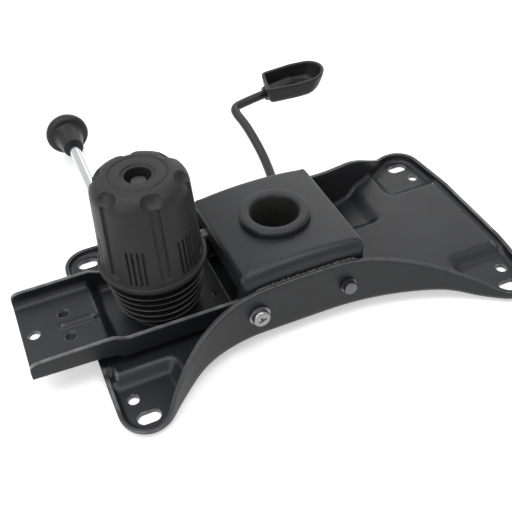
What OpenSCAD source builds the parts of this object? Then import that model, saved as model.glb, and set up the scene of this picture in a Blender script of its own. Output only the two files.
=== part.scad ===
// Push-back mechanism of an office chair, lying upside down on its seat plate.
// Origin: centre of the four seat slots, on the face that meets the seat board.
// +X to the front, -X to the backrest, +Y to the side of both levers, +Z away from the seat.

/* [Seat plate] */
// Distance between the seat slots from back to front
slot_span_x = 226; // [210:1:240]
// Distance between the seat slots from side to side
slot_span_y = 132; // [124:1:140]
// Length of a seat slot
slot_l = 13; // [11:0.5:15]
// Width of a seat slot
slot_w = 8; // [7:0.5:9]
// Diameter of the round hole beside each slot
pilot_d = 6.5; // [5:0.5:8]
// How far the round hole lies outside the slot along X
pilot_out = 4.4; // [2:0.1:6]
// How far the round hole lies inside the slot along Y
pilot_in = 14.3; // [13:0.1:17]
// Thickness of the plate's sheet
sheet = 2.5; // [2:0.1:3]
// Height of the raised floor's underside over the ear pads
floor_rise = 5.5; // [4.5:0.1:7]
// Outer radius of the two ears at the back
ear_r_back = 16; // [15:0.5:18]
// Outer radius of the two ears at the front
ear_r_front = 15.5; // [15:0.5:18]
// Distance of the plate's front edge from the centre
plate_front = 130.7; // [129:0.1:140]
// Width over the two side walls at the waist
waist_w = 85.6; // [82:0.1:90]
// Height of the side walls at the waist
wall_h = 42; // [40:0.5:46]
// Height of the rim round the back ears
rim_back_h = 5.5; // [4.5:0.1:8]
// Height of the rim round the front ears
rim_front_h = 8; // [6:0.1:10]

/* [Housing] */
// Distance of the column socket's axis behind the plate's centre
socket_back = 9.5; // [8:0.1:11]
// Length of the housing from back to front
house_l = 74.5; // [72:0.1:78]
// Height of the housing's top over the seat face
house_h = 53; // [51:0.5:56]
// Thickness of the housing's sheet
house_t = 2.5; // [2:0.1:3]
// Radius of the housing's long top edges
house_side_r = 9; // [7:0.5:10]
// Radius of the housing's short top edges
house_end_r = 7; // [5:0.5:9]
// Radius of the housing's upright corners
house_corner_r = 6; // [4:0.5:8]
// Drop of the domed top from its middle to its ends
dome_drop = 3; // [2:0.1:4]

/* [Column socket] */
// Bore of the socket at its mouth
socket_d = 28; // [27:0.1:29]
// Length of the straight land inside the mouth
land_l = 10; // [6:0.5:12]
// Half angle of the taper below the land, in degrees
taper_a = 1.438; // [1:0.01:2]
// Outer diameter of the socket's tube
socket_od = 38; // [36:0.5:40]
// Outer diameter of the rolled ring on the housing
ring_od = 41.5; // [40.5:0.5:44]
// Height of the rolled ring over the housing
ring_h = 4; // [3:0.1:6]
// Height of the socket's lower end over the seat face
socket_foot = 18.5; // [18:0.1:22]

/* [Back arm] */
// Width over the arm's flanges
arm_w = 60; // [58:0.5:60]
// Thickness of the arm's sheet
arm_t = 2.5; // [2:0.1:2.8]
// Distance of the arm's end behind the column axis
arm_end = 154; // [150:0.5:158]
// Height of the bar seat's underside
bar_floor_z = 18.6; // [17.5:0.1:19.5]
// Height of the spring floor's underside
spring_floor_z = 12; // [11.5:0.1:12.5]
// Distance of the step in the arm's floor behind the column axis
arm_step = 105; // [104.5:0.5:107]
// Height of the flange's top edge at the arm's end
flange_end_h = 29.5; // [28.5:0.1:31]
// Height of the flange's top edge beside the boot
flange_mid_h = 26; // [25:0.1:27]
// Spacing of the two threaded back-bar holes
bar_pitch = 19; // [17:0.5:22]
// Distance of the threaded holes behind the column axis
bar_hole_back = 128.4; // [126:0.1:131]
// Distance of the plain end hole behind the column axis
end_hole_back = 147; // [145:0.1:149]
// Diameter of the plain end hole
end_hole_d = 6.5; // [5.5:0.1:8]
// Core diameter of the back-bar threads
bar_core_d = 6.8; // [6.6:0.1:7]
// Across flats of the two weld nuts
bar_nut_af = 13; // [12:0.5:14]
// Thickness of the two weld nuts
bar_nut_t = 6.5; // [5:0.5:7]
// How far the backrest pushes back, in degrees
tilt_max = 9; // [6:0.5:9]

/* [Pins] */
// Place of the pivot pin between the socket's tube and the housing's front wall
pivot_share = 0.38; // [0.35:0.01:0.42]
// Distance of the stop screw behind the column axis
stop_back = 29.6; // [29:0.1:30]
// Height of both pins over the seat face
pin_z = 25; // [24.5:0.1:25.5]
// Diameter of the pivot pin
pivot_d = 8; // [7:0.1:8.5]
// Diameter of the stop screw
stop_d = 6; // [5:0.1:6.5]
// How far the pivot pin stands out of each wall
pivot_proud = 5.5; // [4.5:0.1:7]
// Diameter of the stop screw's head
screw_head_d = 10.4; // [9.5:0.1:12]
// Height of the stop screw's head
screw_head_h = 4; // [3:0.1:5]

/* [Tension knob] */
// Distance of the tension bolt behind the column axis
tension_back = 73.8; // [73:0.1:74.5]
// Diameter of the tension bolt
bolt_d = 10; // [9:0.5:10]
// Height of the knob's lower face over the seat face
knob_z = 50.8; // [50:0.1:52]
// Height of the knob
knob_h = 56.7; // [55:0.1:60]
// Diameter of the lip at the knob's lower face
lip_d = 60.4; // [59.5:0.1:62]
// Diameter of the knob's body just over the lip
body_low_d = 56.4; // [55.5:0.1:57.5]
// Diameter of the knob's body below its shoulder
body_top_d = 52.4; // [51:0.1:54]
// Radius of the knob's shoulder
shoulder_r = 9; // [7:0.5:10]
// Thickness of the knob's wall
knob_wall = 3.4; // [2.8:0.1:4]
// Number of flutes round the knob
flute_n = 6; // [4:1:8]
// Diameter of the round thumb dimples
dimple_d = 15; // [13:0.5:16]
// Diameter of the hole in the knob's top
top_hole_d = 14.4; // [13:0.1:16]

/* [Spring and boot] */
// Diameter of the spring wire
wire_d = 5.5; // [4.5:0.1:6]
// Mean diameter of the spring
spring_d = 28; // [27:0.1:29]
// Number of turns of the spring
spring_turns = 8; // [6:1:8]
// Height of the boot's plain neck under its lowest rib
boot_neck_h = 9.4; // [8:0.1:11]
// Number of ribs on the boot
rib_n = 6; // [5:1:7]
// Diameter of the boot's lowest rib
rib_low_d = 47.6; // [46:0.1:49]
// Diameter of the boot's highest rib
rib_high_d = 54; // [53:0.1:55]
// Depth of the boot's ribs
rib_deep = 3.6; // [3:0.1:4]
// Thickness of the boot's wall
boot_t = 1; // [0.8:0.1:1.1]

/* [Height lever] */
// Diameter of the height lever's rod
lever_d = 6.5; // [6:0.1:7]
// Height of the rod where it leaves the wall
lever_z = 10.5; // [10:0.1:11]
// How far the lever can be pulled, in degrees
lever_pull = 5; // [3:0.5:5]
// Length of the paddle's scoop
paddle_l = 46; // [43:0.5:50]
// Width of the paddle
paddle_w = 31; // [28:0.5:34]
// Depth of the paddle
paddle_h = 15; // [13:0.5:16]
// How far the scoop is turned from the rod, in degrees
scoop_turn = 20; // [16:1:22]
// Thickness of the paddle's wall
paddle_t = 2.5; // [2:0.1:3]

/* [Lock lever] */
// Distance of the lock rod behind the column axis
lock_back = 84; // [83:0.1:85]
// Diameter of the lock rod
lock_d = 8; // [7:0.1:8.4]
// Height of the lock rod over the seat face
lock_z = 19.5; // [19:0.1:20]
// Distance of the lock knob's hub from the plate's middle line
lock_hub_y = 173.5; // [165:0.5:180]
// Diameter of the lock knob's head
lock_head_d = 31; // [28:0.5:34]
// Length of the lock knob
lock_knob_l = 32; // [28:0.5:36]
// Travel of the lock rod into the arm
lock_travel = 5; // [4:0.1:5]

/* [Hidden] */
$fn = 48;

// Finish colours
coat_black = [0.10, 0.10, 0.11];
plastic_black = [0.16, 0.16, 0.17];
rubber_black = [0.07, 0.07, 0.07];
zinc = [0.72, 0.72, 0.74];
bright_chrome = [0.86, 0.87, 0.90];
nylon_white = [0.88, 0.87, 0.82];

// Clearances
close_gap = 0.15;
run_gap = 0.06;
move_gap = 0.3;
rim_notch_gap = 0.8;
cut = 1;
far_out = 400;

// Places worked out from the column axis
socket_x = -socket_back;
stop_x = socket_x - stop_back;
bolt_x = socket_x - tension_back;
lock_x = socket_x - lock_back;
house_back_x = socket_x - house_l / 2 + 0.25;
house_front_x = house_back_x + house_l;
house_room = house_front_x - house_t - socket_x - socket_od / 2;
pivot_x = socket_x + socket_od / 2 + pivot_share * house_room;

// Plate levels and walls
waist = waist_w / 2;
floor_top = floor_rise + sheet;
house_half = waist - sheet - 0.2;
house_inner = house_half - house_t;
ear_back_x = -slot_span_x / 2 + 0.3;
ear_front_x = slot_span_x / 2 - 1;
ear_back_y = slot_span_y / 2 - 4;
ear_front_y = slot_span_y / 2 - 3.5;
waist_back_x = socket_x - 26;
waist_front_x = socket_x + 13;
pad_edge_y = 42;
pad_band = 5.5;
pad_back_x = socket_x - 84;
pad_front_x = socket_x + 98.5;
pad_front_band = 5;
pocket_back_x = socket_x + 6;
pocket_front_x = socket_x + 80;
pocket_y = 18;
pocket_deep = 5;
pocket_band = 3.5;
flank_back_0 = socket_x - 95;
flank_back_1 = socket_x + 3;
flank_front_0 = socket_x + 112;
flank_front_1 = socket_x + 27.5;
flank_back_p = 3.2;
flank_front_p = 1.39;
edge_bow_y = 34;

// Arm places
arm_half = arm_w / 2;
arm_in = arm_half - arm_t;
arm_end_x = socket_x - arm_end;
step_low_x = socket_x - arm_step;
step_run = 5.5;
step_high_x = step_low_x - step_run;
bar_floor_top = bar_floor_z + arm_t;
spring_floor_top = spring_floor_z + arm_t;
arm_hole_r = bolt_d / 2 + 4;
ear_gap = 1.4;
ear_r = house_front_x - house_t - pivot_x - ear_gap;
bush_t = 1.5;
slot_r = stop_d / 2 + move_gap;
slot_ligament = 2.6;
pivot_reach = pivot_x - stop_x;
slot_drop = pivot_reach * sin(tilt_max);
slot_shift = pivot_reach * (1 - cos(tilt_max));
floor_stop_gap = 4;
arm_floor_end_x = stop_x - stop_d / 2 - floor_stop_gap;
lock_hole_r = lock_d / 2 + move_gap;
bar_rib_l = 23;
bar_rib_w = 6;
bar_rib_h = 1.4;

// Heights up the tension bolt
cup_t = 2;
cup_r = spring_d / 2 + wire_d / 2 + 0.6;
turn_rings = 8;
boss_r = spring_d / 2 * cos(180 / turn_rings) - wire_d / 2 - move_gap;
boss_h = 3.5;
foot_cup_top = spring_floor_top + cup_t;
knob_top = knob_z + knob_h;
recess_deep = 6.2;
nut_h = 8;
nut_af = 17;
nut_top = knob_top - recess_deep;
nut_low = nut_top - nut_h;
washer_t = 1.2;
washer_low = nut_low - 0.1 - washer_t;
head_cup_low = washer_low - cup_t;
bolt_top = knob_top - 4.5;
cavity_low_r = body_low_d / 2 - knob_wall;
cavity_top_r = body_top_d / 2 - knob_wall;
lip_t = 3;

// Boot
boot_low = spring_floor_top;
rib_low_z = boot_low + boot_neck_h;
rib_top_z = knob_z - 2;
rib_pitch = (rib_top_z - rib_low_z) / (rib_n - 1);
boot_neck_r = cup_r + boot_t + 0.5;
collar_r = cavity_low_r - 0.8;
collar_h = 8;

// Lever places
lever_x = pivot_x + 1.1;
wall_mid = waist - (sheet + house_t) / 2;
bush_len = sheet + house_t + 4;
bush_proud = 1.2;
lever_gap = (bush_len / 2 + bush_proud) * tan(lever_pull) + close_gap;
bush_hole_r = lever_d / 2 + lever_gap + 2;

function arc(cx, cy, r, a0, a1, n) =
    [for (i = [0:n]) [cx + r * cos(a0 + (a1 - a0) * i / n), cy + r * sin(a0 + (a1 - a0) * i / n)]];

// Radius of the side wall's hollow curve, tangent to the waist line and to an ear
function hollow_r(dx, dy, r) = (dx * dx + dy * dy - r * r) / (2 * (r - dy));

// Outer face of the side walls at x: straight at the waist, bending out towards the ears
back_hollow = hollow_r(waist_back_x - ear_back_x, waist - ear_back_y, ear_r_back);
front_hollow = hollow_r(ear_front_x - waist_front_x, waist - ear_front_y, ear_r_front);
function wall_out(x) =
    x < waist_back_x ? waist + back_hollow - sqrt(pow(back_hollow, 2) - pow(waist_back_x - x, 2))
    : x > waist_front_x ? waist + front_hollow - sqrt(pow(front_hollow, 2) - pow(x - waist_front_x, 2))
    : waist;

// Plan of one half of the plate, drawn from the back edge to the front edge
function half_plan(inset) =
    let (
        w = waist - inset,
        rb = ear_r_back - inset,
        rf = ear_r_front - inset,
        hb = hollow_r(waist_back_x - ear_back_x, w - ear_back_y, rb),
        hf = hollow_r(ear_front_x - waist_front_x, w - ear_front_y, rf),
        ab = atan2(-w - hb + ear_back_y, waist_back_x - ear_back_x),
        af = atan2(-w - hf + ear_front_y, waist_front_x - ear_front_x),
        tilt = atan2(plate_front - ear_front_x - ear_r_front, ear_front_y - edge_bow_y)
    )
    concat(
        arc(ear_back_x, -ear_back_y, rb, 180, 360 + ab, 14),
        arc(waist_back_x, -w - hb, hb, 180 + ab, 90, 12),
        arc(waist_front_x, -w - hf, hf, 90, 180 + af, 14),
        arc(ear_front_x, -ear_front_y, rf, 360 + af, 360 - tilt, 14),
        [[plate_front - inset, -edge_bow_y]]
    );

function mirrored(points) =
    [for (i = [len(points) - 1:-1:0]) [points[i][0], -points[i][1]]];

module plan(inset) {
    polygon(concat(half_plan(inset), mirrored(half_plan(inset))));
}

// Height of the rim and side wall at x
function rise(s, p) = 1 - pow(1 - min(1, max(0, s)), p);
function rim_height(x) =
    x < socket_x
    ? rim_back_h + (wall_h - rim_back_h) * rise((x - flank_back_0) / (flank_back_1 - flank_back_0), flank_back_p)
    : rim_front_h + (wall_h - rim_front_h)
        * rise((flank_front_0 - x) / (flank_front_0 - flank_front_1), flank_front_p);

module rim_profile() {
    n = 22;
    rotate([90, 0, 0])
        linear_extrude(far_out, center = true)
            polygon(concat(
                [[-far_out, -20], [-far_out, rim_back_h]],
                [for (i = [0:n]) let (x = flank_back_0 + (flank_back_1 - flank_back_0) * i / n) [x, rim_height(x)]],
                [for (i = [0:n]) let (x = flank_front_1 + (flank_front_0 - flank_front_1) * i / n) [x, rim_height(x)]],
                [[far_out, rim_front_h], [far_out, -20]]
            ));
}

// A sunken area with sloping sides, open to the outside of the plate
module sunken_x(x_edge, band, deep, dir) {
    rotate([90, 0, 0])
        linear_extrude(far_out, center = true)
            polygon([
                [x_edge, floor_top - deep],
                [x_edge - 3 * dir * band, floor_top + 2 * deep],
                [x_edge + dir * far_out, floor_top + 2 * deep],
                [x_edge + dir * far_out, floor_top - deep]
            ]);
}

module sunken_y(y_edge, band, deep, dir) {
    rotate([90, 0, 90])
        linear_extrude(far_out, center = true)
            polygon([
                [y_edge, floor_top - deep],
                [y_edge - 3 * dir * band, floor_top + 2 * deep],
                [y_edge + dir * far_out, floor_top + 2 * deep],
                [y_edge + dir * far_out, floor_top - deep]
            ]);
}

module floor_hollows() {
    for (side = [-1, 1]) {
        intersection() {
            sunken_x(pad_back_x, pad_band, floor_rise, -1);
            sunken_y(side * pad_edge_y, pad_band, floor_rise, side);
        }
        intersection() {
            sunken_x(pad_front_x, pad_front_band, floor_rise, 1);
            sunken_y(side * pad_edge_y, pad_band, floor_rise, side);
        }
    }
    intersection() {
        sunken_x(pocket_back_x, pocket_band, pocket_deep, 1);
        sunken_x(pocket_front_x, pocket_band, pocket_deep, -1);
        sunken_y(pocket_y, pocket_band, pocket_deep, 1);
    }
}

module under_floor(drop, inset) {
    difference() {
        translate([0, 0, -30])
            linear_extrude(30 + floor_top - drop)
                plan(inset);
        translate([0, 0, -drop])
            floor_hollows();
    }
}

module seat_holes() {
    for (sx = [-1, 1], sy = [-1, 1]) {
        translate([sx * slot_span_x / 2, sy * slot_span_y / 2, -cut]) {
            translate([-(slot_l - slot_w) / 2, -slot_w / 2, 0])
                cube([slot_l - slot_w, slot_w, sheet + 2 * cut]);
            for (end = [-1, 1])
                translate([end * (slot_l - slot_w) / 2, 0, 0])
                    cylinder(d = slot_w, h = sheet + 2 * cut);
        }
        translate([sx * (slot_span_x / 2 + pilot_out), sy * (slot_span_y / 2 - pilot_in), -cut])
            cylinder(d = pilot_d, h = sheet + 2 * cut);
    }
}

// Open notch in the far rim that the lock rod passes through
module rim_notch() {
    w = lock_d + 2 * rim_notch_gap;
    translate([lock_x, waist, lock_z])
        rotate([-90, 0, 0])
            cylinder(d = w, h = ear_back_y);
    translate([lock_x - w / 2, waist, lock_z])
        cube([w, ear_back_y, wall_h]);
}

// Holes through both side walls for the pivot pin, the stop screw and the height lever
module wall_holes() {
    translate([pivot_x, 0, pin_z])
        rotate([90, 0, 0])
            cylinder(r = pivot_d / 2 + run_gap, h = 2 * waist + 20, center = true);
    translate([stop_x, 0, pin_z])
        rotate([90, 0, 0])
            cylinder(r = stop_d / 2 + close_gap, h = 2 * waist + 20, center = true);
    translate([lever_x, wall_mid, lever_z])
        rotate([90, 0, 0])
            cylinder(r = bush_hole_r, h = 12, center = true);
}

module seat_plate() {
    color(coat_black)
        difference() {
            union() {
                difference() {
                    under_floor(0, 0);
                    under_floor(sheet, -2);
                }
                difference() {
                    intersection() {
                        translate([0, 0, -20])
                            linear_extrude(20 + wall_h + cut)
                                difference() {
                                    plan(0);
                                    plan(sheet);
                                }
                        rim_profile();
                    }
                    under_floor(sheet, -2);
                }
            }
            seat_holes();
            wall_holes();
            rim_notch();
            translate([bolt_x, 0, floor_rise + sheet / 2])
                cube([bolt_d + 2 * close_gap, bolt_d + 2 * close_gap, sheet + 2 * cut], center = true);
        }
}

// Side view of the housing: upright ends, rounded edges and a domed top
function house_side(inset) =
    let (
        half = house_l / 2 - inset,
        r = house_end_r - inset,
        mid = house_back_x + house_l / 2,
        dome = house_l * house_l / (8 * dome_drop) - inset,
        cz = house_h - inset - dome,
        fz = cz + sqrt(pow(dome - r, 2) - pow(half - r, 2)),
        a = atan2(fz - cz, half - r)
    )
    concat(
        [[mid - half, -30], [mid + half, -30]],
        arc(mid + half - r, fz, r, 0, a, 8),
        arc(mid, cz, dome, a, 180 - a, 16),
        arc(mid - half + r, fz, r, 180 - a, 180, 8)
    );

function house_end(inset) =
    let (
        half = house_half - inset,
        r = house_side_r - inset,
        top = house_h + 0.6 - inset
    )
    concat(
        [[-half, -30], [half, -30]],
        arc(half - r, top - r, r, 0, 90, 10),
        arc(-half + r, top - r, r, 90, 180, 10)
    );

function house_plan(inset) =
    let (
        r = house_corner_r - inset,
        x0 = house_back_x + inset,
        x1 = house_front_x - inset,
        half = house_half - inset
    )
    concat(
        arc(x1 - r, half - r, r, 0, 90, 8),
        arc(x0 + r, half - r, r, 90, 180, 8),
        arc(x0 + r, -half + r, r, 180, 270, 8),
        arc(x1 - r, -half + r, r, 270, 360, 8)
    );

module house_form(inset, low) {
    intersection() {
        rotate([90, 0, 0])
            linear_extrude(far_out, center = true)
                polygon(house_side(inset));
        rotate([90, 0, 90])
            linear_extrude(far_out, center = true)
                polygon(house_end(inset));
        translate([0, 0, low])
            linear_extrude(house_h + 20)
                polygon(house_plan(inset));
    }
}

// Opening in the housing's back wall for the arm, with a small notch and a bent-out tab
door_half = arm_half + 1.5;
door_h = 38.5;
tab_y = 16;
tab_w = 5;
tab_gap = 1;
tab_z = 41;
tab_out = 4.5;
tab_t = 1.6;

module centre_housing() {
    color(coat_black) {
        difference() {
            house_form(0, floor_top);
            house_form(house_t, floor_top - cut);
            translate([house_back_x - cut, -door_half, 0])
                cube([house_t + 6, 2 * door_half, door_h]);
            translate([house_back_x - cut, tab_y - tab_w / 2 - tab_gap, door_h - cut])
                cube([house_t + 3, tab_w + 2 * tab_gap, tab_z - door_h + cut]);
            wall_holes();
            translate([socket_x, 0, house_h - 20])
                cylinder(d = socket_od + 2 * close_gap, h = 40);
        }
        translate([house_back_x - tab_out, tab_y - tab_w / 2, tab_z])
            cube([tab_out + house_t, tab_w, tab_t]);
    }
}

weld_h = 2.1;
module housing_welds() {
    color(coat_black)
        for (side = [-1, 1])
            translate([house_back_x + house_corner_r, 0, 0])
                rotate([90, 0, 90])
                    linear_extrude(house_l - 2 * house_corner_r)
                        polygon([
                            [side * house_half, wall_h],
                            [side * (house_half + weld_h), wall_h],
                            [side * (house_half + 0.7 * weld_h), wall_h + 0.7 * weld_h],
                            [side * house_half, wall_h + weld_h * 0.8]
                        ]);
}

// Tapered socket for the gas column, with a rolled ring on the housing's top
ring_edge_r = 1.9;
ring_top = house_h + ring_h;
module column_socket() {
    mouth_r0 = socket_d / 2;
    land_top = ring_top - ring_edge_r;
    land_low = land_top - land_l;
    foot_r = mouth_r0 - (land_low - socket_foot) * tan(taper_a);
    color(coat_black)
        translate([socket_x, 0, 0])
            rotate_extrude()
                polygon(concat(
                    [[foot_r, socket_foot], [socket_od / 2, socket_foot], [socket_od / 2, house_h],
                     [ring_od / 2, house_h]],
                    arc(ring_od / 2 - ring_edge_r, land_top, ring_edge_r, 0, 90, 6),
                    arc(mouth_r0 + ring_edge_r, land_top, ring_edge_r, 90, 180, 6),
                    [[mouth_r0, land_low]]
                ));
}

ring_groove = 0.8;
ring_w = 1;
ring_out_r = pivot_d / 2 + 0.8;
groove_y = wall_out(pivot_x + ring_out_r) + close_gap + ring_w / 2;
module pivot_pin() {
    len_half = waist + pivot_proud;
    color(zinc)
        translate([pivot_x, 0, pin_z])
            difference() {
                rotate([90, 0, 0])
                    rotate_extrude()
                        polygon([
                            [0, -len_half], [pivot_d / 2 - 0.5, -len_half], [pivot_d / 2, -len_half + 0.5],
                            [pivot_d / 2, len_half - 0.5], [pivot_d / 2 - 0.5, len_half], [0, len_half]
                        ]);
                for (side = [-1, 1])
                    translate([0, side * groove_y, 0])
                        rotate([90, 0, 0])
                            difference() {
                                cylinder(d = pivot_d + 2, h = ring_w, center = true);
                                cylinder(d = pivot_d - 2 * ring_groove, h = ring_w + 1, center = true);
                            }
            }
}

module pivot_rings() {
    color(zinc)
        for (side = [-1, 1])
            translate([pivot_x, side * groove_y, pin_z])
                rotate([90, 0, 0])
                    difference() {
                        cylinder(r = ring_out_r, h = ring_w - 0.1, center = true);
                        cylinder(d = pivot_d - 2 * ring_groove + 0.1, h = ring_w + 1, center = true);
                        translate([-1.2, -pivot_d, -ring_w])
                            cube([2.4, pivot_d, 2 * ring_w]);
                    }
}

stop_washer_t = 1.2;
stop_washer_r = screw_head_d / 2 + 1;
stop_nut_t = 5;
stop_seat_y = wall_out(stop_x - stop_washer_r);
module stop_screw() {
    head_y = stop_seat_y + stop_washer_t;
    end_y = head_y + stop_nut_t + 2.5;
    color(zinc)
        translate([stop_x, 0, pin_z])
            difference() {
                rotate([90, 0, 0])
                    rotate_extrude()
                        polygon(concat(
                            [[0, -end_y], [stop_d / 2 - 0.6, -end_y], [stop_d / 2, -end_y + 0.6],
                             [stop_d / 2, head_y], [screw_head_d / 2, head_y]],
                            arc(screw_head_d / 2 - 1.8, head_y + screw_head_h - 1.8, 1.8, 0, 90, 5),
                            [[0, head_y + screw_head_h]]
                        ));
                for (a = [0, 90])
                    translate([0, -head_y - screw_head_h, 0])
                        rotate([0, a + 20, 0])
                            cube([screw_head_d * 0.56, 4, 1.3], center = true);
            }
}

module stop_washers() {
    color(zinc)
        for (side = [-1, 1])
            translate([stop_x, side * (stop_seat_y + stop_washer_t / 2), pin_z])
                rotate([90, 0, 0])
                    difference() {
                        cylinder(r = stop_washer_r, h = stop_washer_t, center = true);
                        cylinder(d = stop_d + 2 * close_gap, h = stop_washer_t + cut, center = true);
                    }
}

module stop_nut() {
    color(zinc)
        translate([stop_x, stop_seat_y + stop_washer_t + stop_nut_t / 2, pin_z])
            rotate([90, 0, 0])
                difference() {
                    cylinder(d = 10 / cos(30), h = stop_nut_t, center = true, $fn = 6);
                    cylinder(d = stop_d + 0.2, h = stop_nut_t + cut, center = true);
                }
}

// Square-necked bolt that carries the tension spring
bolt_head_h = 4;
bolt_head_r = 11;
module tension_bolt() {
    color(zinc)
        translate([bolt_x, 0, 0]) {
            translate([0, 0, floor_rise - bolt_head_h])
                cylinder(r1 = bolt_head_r - 3, r2 = bolt_head_r, h = bolt_head_h);
            translate([-bolt_d / 2, -bolt_d / 2, floor_rise])
                cube([bolt_d, bolt_d, sheet]);
            translate([0, 0, floor_top])
                cylinder(d = bolt_d, h = bolt_top - floor_top - 1);
            translate([0, 0, bolt_top - 1])
                cylinder(r1 = bolt_d / 2, r2 = bolt_d / 2 - 1, h = 1);
        }
}

bush_collar_t = 1.3;
bush_collar_r = bush_hole_r + 1.6;
bush_seat = wall_out(lever_x + bush_collar_r) + close_gap - wall_mid;
module lever_bush() {
    color(nylon_white)
        translate([lever_x, wall_mid, lever_z])
            rotate([90, 0, 0])
                difference() {
                    union() {
                        cylinder(r = bush_hole_r - close_gap, h = bush_len, center = true);
                        translate([0, 0, -bush_seat - bush_collar_t])
                            cylinder(r = bush_collar_r, h = bush_collar_t);
                    }
                    cylinder(r = lever_d / 2 + lever_gap, h = 2 * (bush_seat + bush_collar_t + cut), center = true);
                }
}

// Angle bracket under the arm that guides the lock rod
bracket_w = 18;
bracket_foot = 16;
bracket_y = arm_half + 2;
bracket_t = 2.5;
lock_bush_r = lock_d / 2 + 1.7;
lock_bush_l = 12;
module lock_bracket() {
    foot_y = bracket_y + bracket_t - bracket_foot;
    color(coat_black)
        difference() {
            union() {
                translate([lock_x - bracket_w / 2, foot_y, floor_top])
                    cube([bracket_w, bracket_foot, bracket_t]);
                translate([lock_x - bracket_w / 2, bracket_y, floor_top])
                    cube([bracket_w, bracket_t, lock_z - floor_top]);
                translate([lock_x, bracket_y + bracket_t, lock_z])
                    rotate([90, 0, 0])
                        cylinder(d = bracket_w, h = bracket_t);
            }
            translate([lock_x, bracket_y + bracket_t + cut, lock_z])
                rotate([90, 0, 0])
                    cylinder(r = lock_bush_r + close_gap, h = bracket_t + 2 * cut);
        }
}

module lock_bush() {
    color(nylon_white)
        translate([lock_x, bracket_y, lock_z])
            rotate([-90, 0, 0])
                difference() {
                    union() {
                        cylinder(r = lock_bush_r, h = lock_bush_l);
                        translate([0, 0, bracket_t])
                            cylinder(r = lock_bush_r + 1.6, h = 1.5);
                    }
                    translate([0, 0, -cut])
                        cylinder(r = lock_d / 2 + run_gap, h = lock_bush_l + 2 * cut);
                }
}

// Side view of the arm's flanges: raised bar seat, spring floor and fork ears
corner_r = 5;
function flange_side() =
    let (
        stop_top = pin_z + slot_r + slot_ligament,
        stop_low = pin_z - slot_drop - slot_r - 2
    )
    concat(
        [[arm_end_x, bar_floor_z]],
        [[step_high_x, bar_floor_z], [step_low_x, spring_floor_z], [stop_x - 8, spring_floor_z],
         [stop_x - 4, min(stop_low, spring_floor_z)], [stop_x + 6, min(stop_low, spring_floor_z)]],
        arc(pivot_x, pin_z, ear_r, 270 - 12, 450 + 4, 14),
        [[stop_x + 7, stop_top], [stop_x - 3, stop_top], [stop_x - 8.5, flange_mid_h],
         [step_low_x + 2, flange_mid_h + 0.4], [step_high_x - 2, flange_end_h]],
        arc(arm_end_x + corner_r, flange_end_h - corner_r, corner_r, 90, 180, 6)
    );

module arm_floor() {
    rotate([90, 0, 0])
        linear_extrude(arm_w, center = true)
            polygon([
                [arm_end_x, bar_floor_z], [step_high_x, bar_floor_z], [step_low_x, spring_floor_z],
                [arm_floor_end_x, spring_floor_z], [arm_floor_end_x, spring_floor_top],
                [step_low_x + 0.6, spring_floor_top], [step_high_x + 0.6, bar_floor_top],
                [arm_end_x, bar_floor_top]
            ]);
}

// Slot that the stop screw runs in as the arm swings about the pivot pin
module stop_slot() {
    a = atan2(slot_shift, slot_drop);
    run = sqrt(slot_drop * slot_drop + slot_shift * slot_shift);
    translate([stop_x, 0, pin_z])
        rotate([0, -a, 0])
            rotate([90, 0, 0]) {
                cylinder(r = slot_r, h = arm_w + 10, center = true);
                translate([0, -run, 0])
                    cylinder(r = slot_r, h = arm_w + 10, center = true);
                translate([-slot_r, -run, -arm_w / 2 - 5])
                    cube([2 * slot_r, run, arm_w + 10]);
            }
}

module back_arm() {
    color(coat_black)
        difference() {
            union() {
                arm_floor();
                for (side = [-1, 1])
                    translate([0, side * (arm_half - arm_t / 2), 0])
                        rotate([90, 0, 0])
                            linear_extrude(arm_t, center = true)
                                polygon(flange_side());
                intersection() {
                    translate([step_high_x - bar_rib_l, 0, bar_floor_top + bar_rib_h - bar_rib_w / 2])
                        rotate([0, 90, 0])
                            cylinder(d = bar_rib_w, h = bar_rib_l);
                    translate([arm_end_x, -bar_rib_w, bar_floor_z + 0.5])
                        cube([arm_end, 2 * bar_rib_w, arm_t + bar_rib_h]);
                }
            }
            for (side = [-1, 1])
                translate([socket_x - bar_hole_back, side * bar_pitch / 2, bar_floor_z - cut])
                    cylinder(d = bar_core_d, h = arm_t + 2 * cut);
            translate([socket_x - end_hole_back, 0, bar_floor_z - cut])
                cylinder(d = end_hole_d, h = arm_t + 2 * cut);
            translate([bolt_x, 0, spring_floor_z - cut])
                cylinder(r = arm_hole_r, h = arm_t + 2 * cut);
            translate([pivot_x, 0, pin_z])
                rotate([90, 0, 0])
                    cylinder(r = pivot_d / 2 + bush_t + close_gap, h = arm_w + 10, center = true);
            stop_slot();
            translate([lock_x, arm_half + cut, lock_z])
                rotate([90, 0, 0])
                    cylinder(r = lock_hole_r, h = arm_t + 2 * cut);
        }
}

// Collared bushes between the arm's ears, the pivot pin and the housing walls
collar_gap = 0.8;
collar_over = 2.8;
module arm_bushes() {
    collar_l = house_inner - arm_half - collar_gap;
    color(nylon_white)
        for (side = [-1, 1])
            translate([pivot_x, side * arm_in, pin_z])
                rotate([-90 * side, 0, 0])
                    difference() {
                        union() {
                            cylinder(r = pivot_d / 2 + bush_t, h = arm_t + 0.5);
                            translate([0, 0, arm_t])
                                cylinder(r = pivot_d / 2 + collar_over, h = collar_l);
                        }
                        translate([0, 0, -cut])
                            cylinder(r = pivot_d / 2 + run_gap, h = arm_t + collar_l + 2 * cut);
                    }
}

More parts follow.
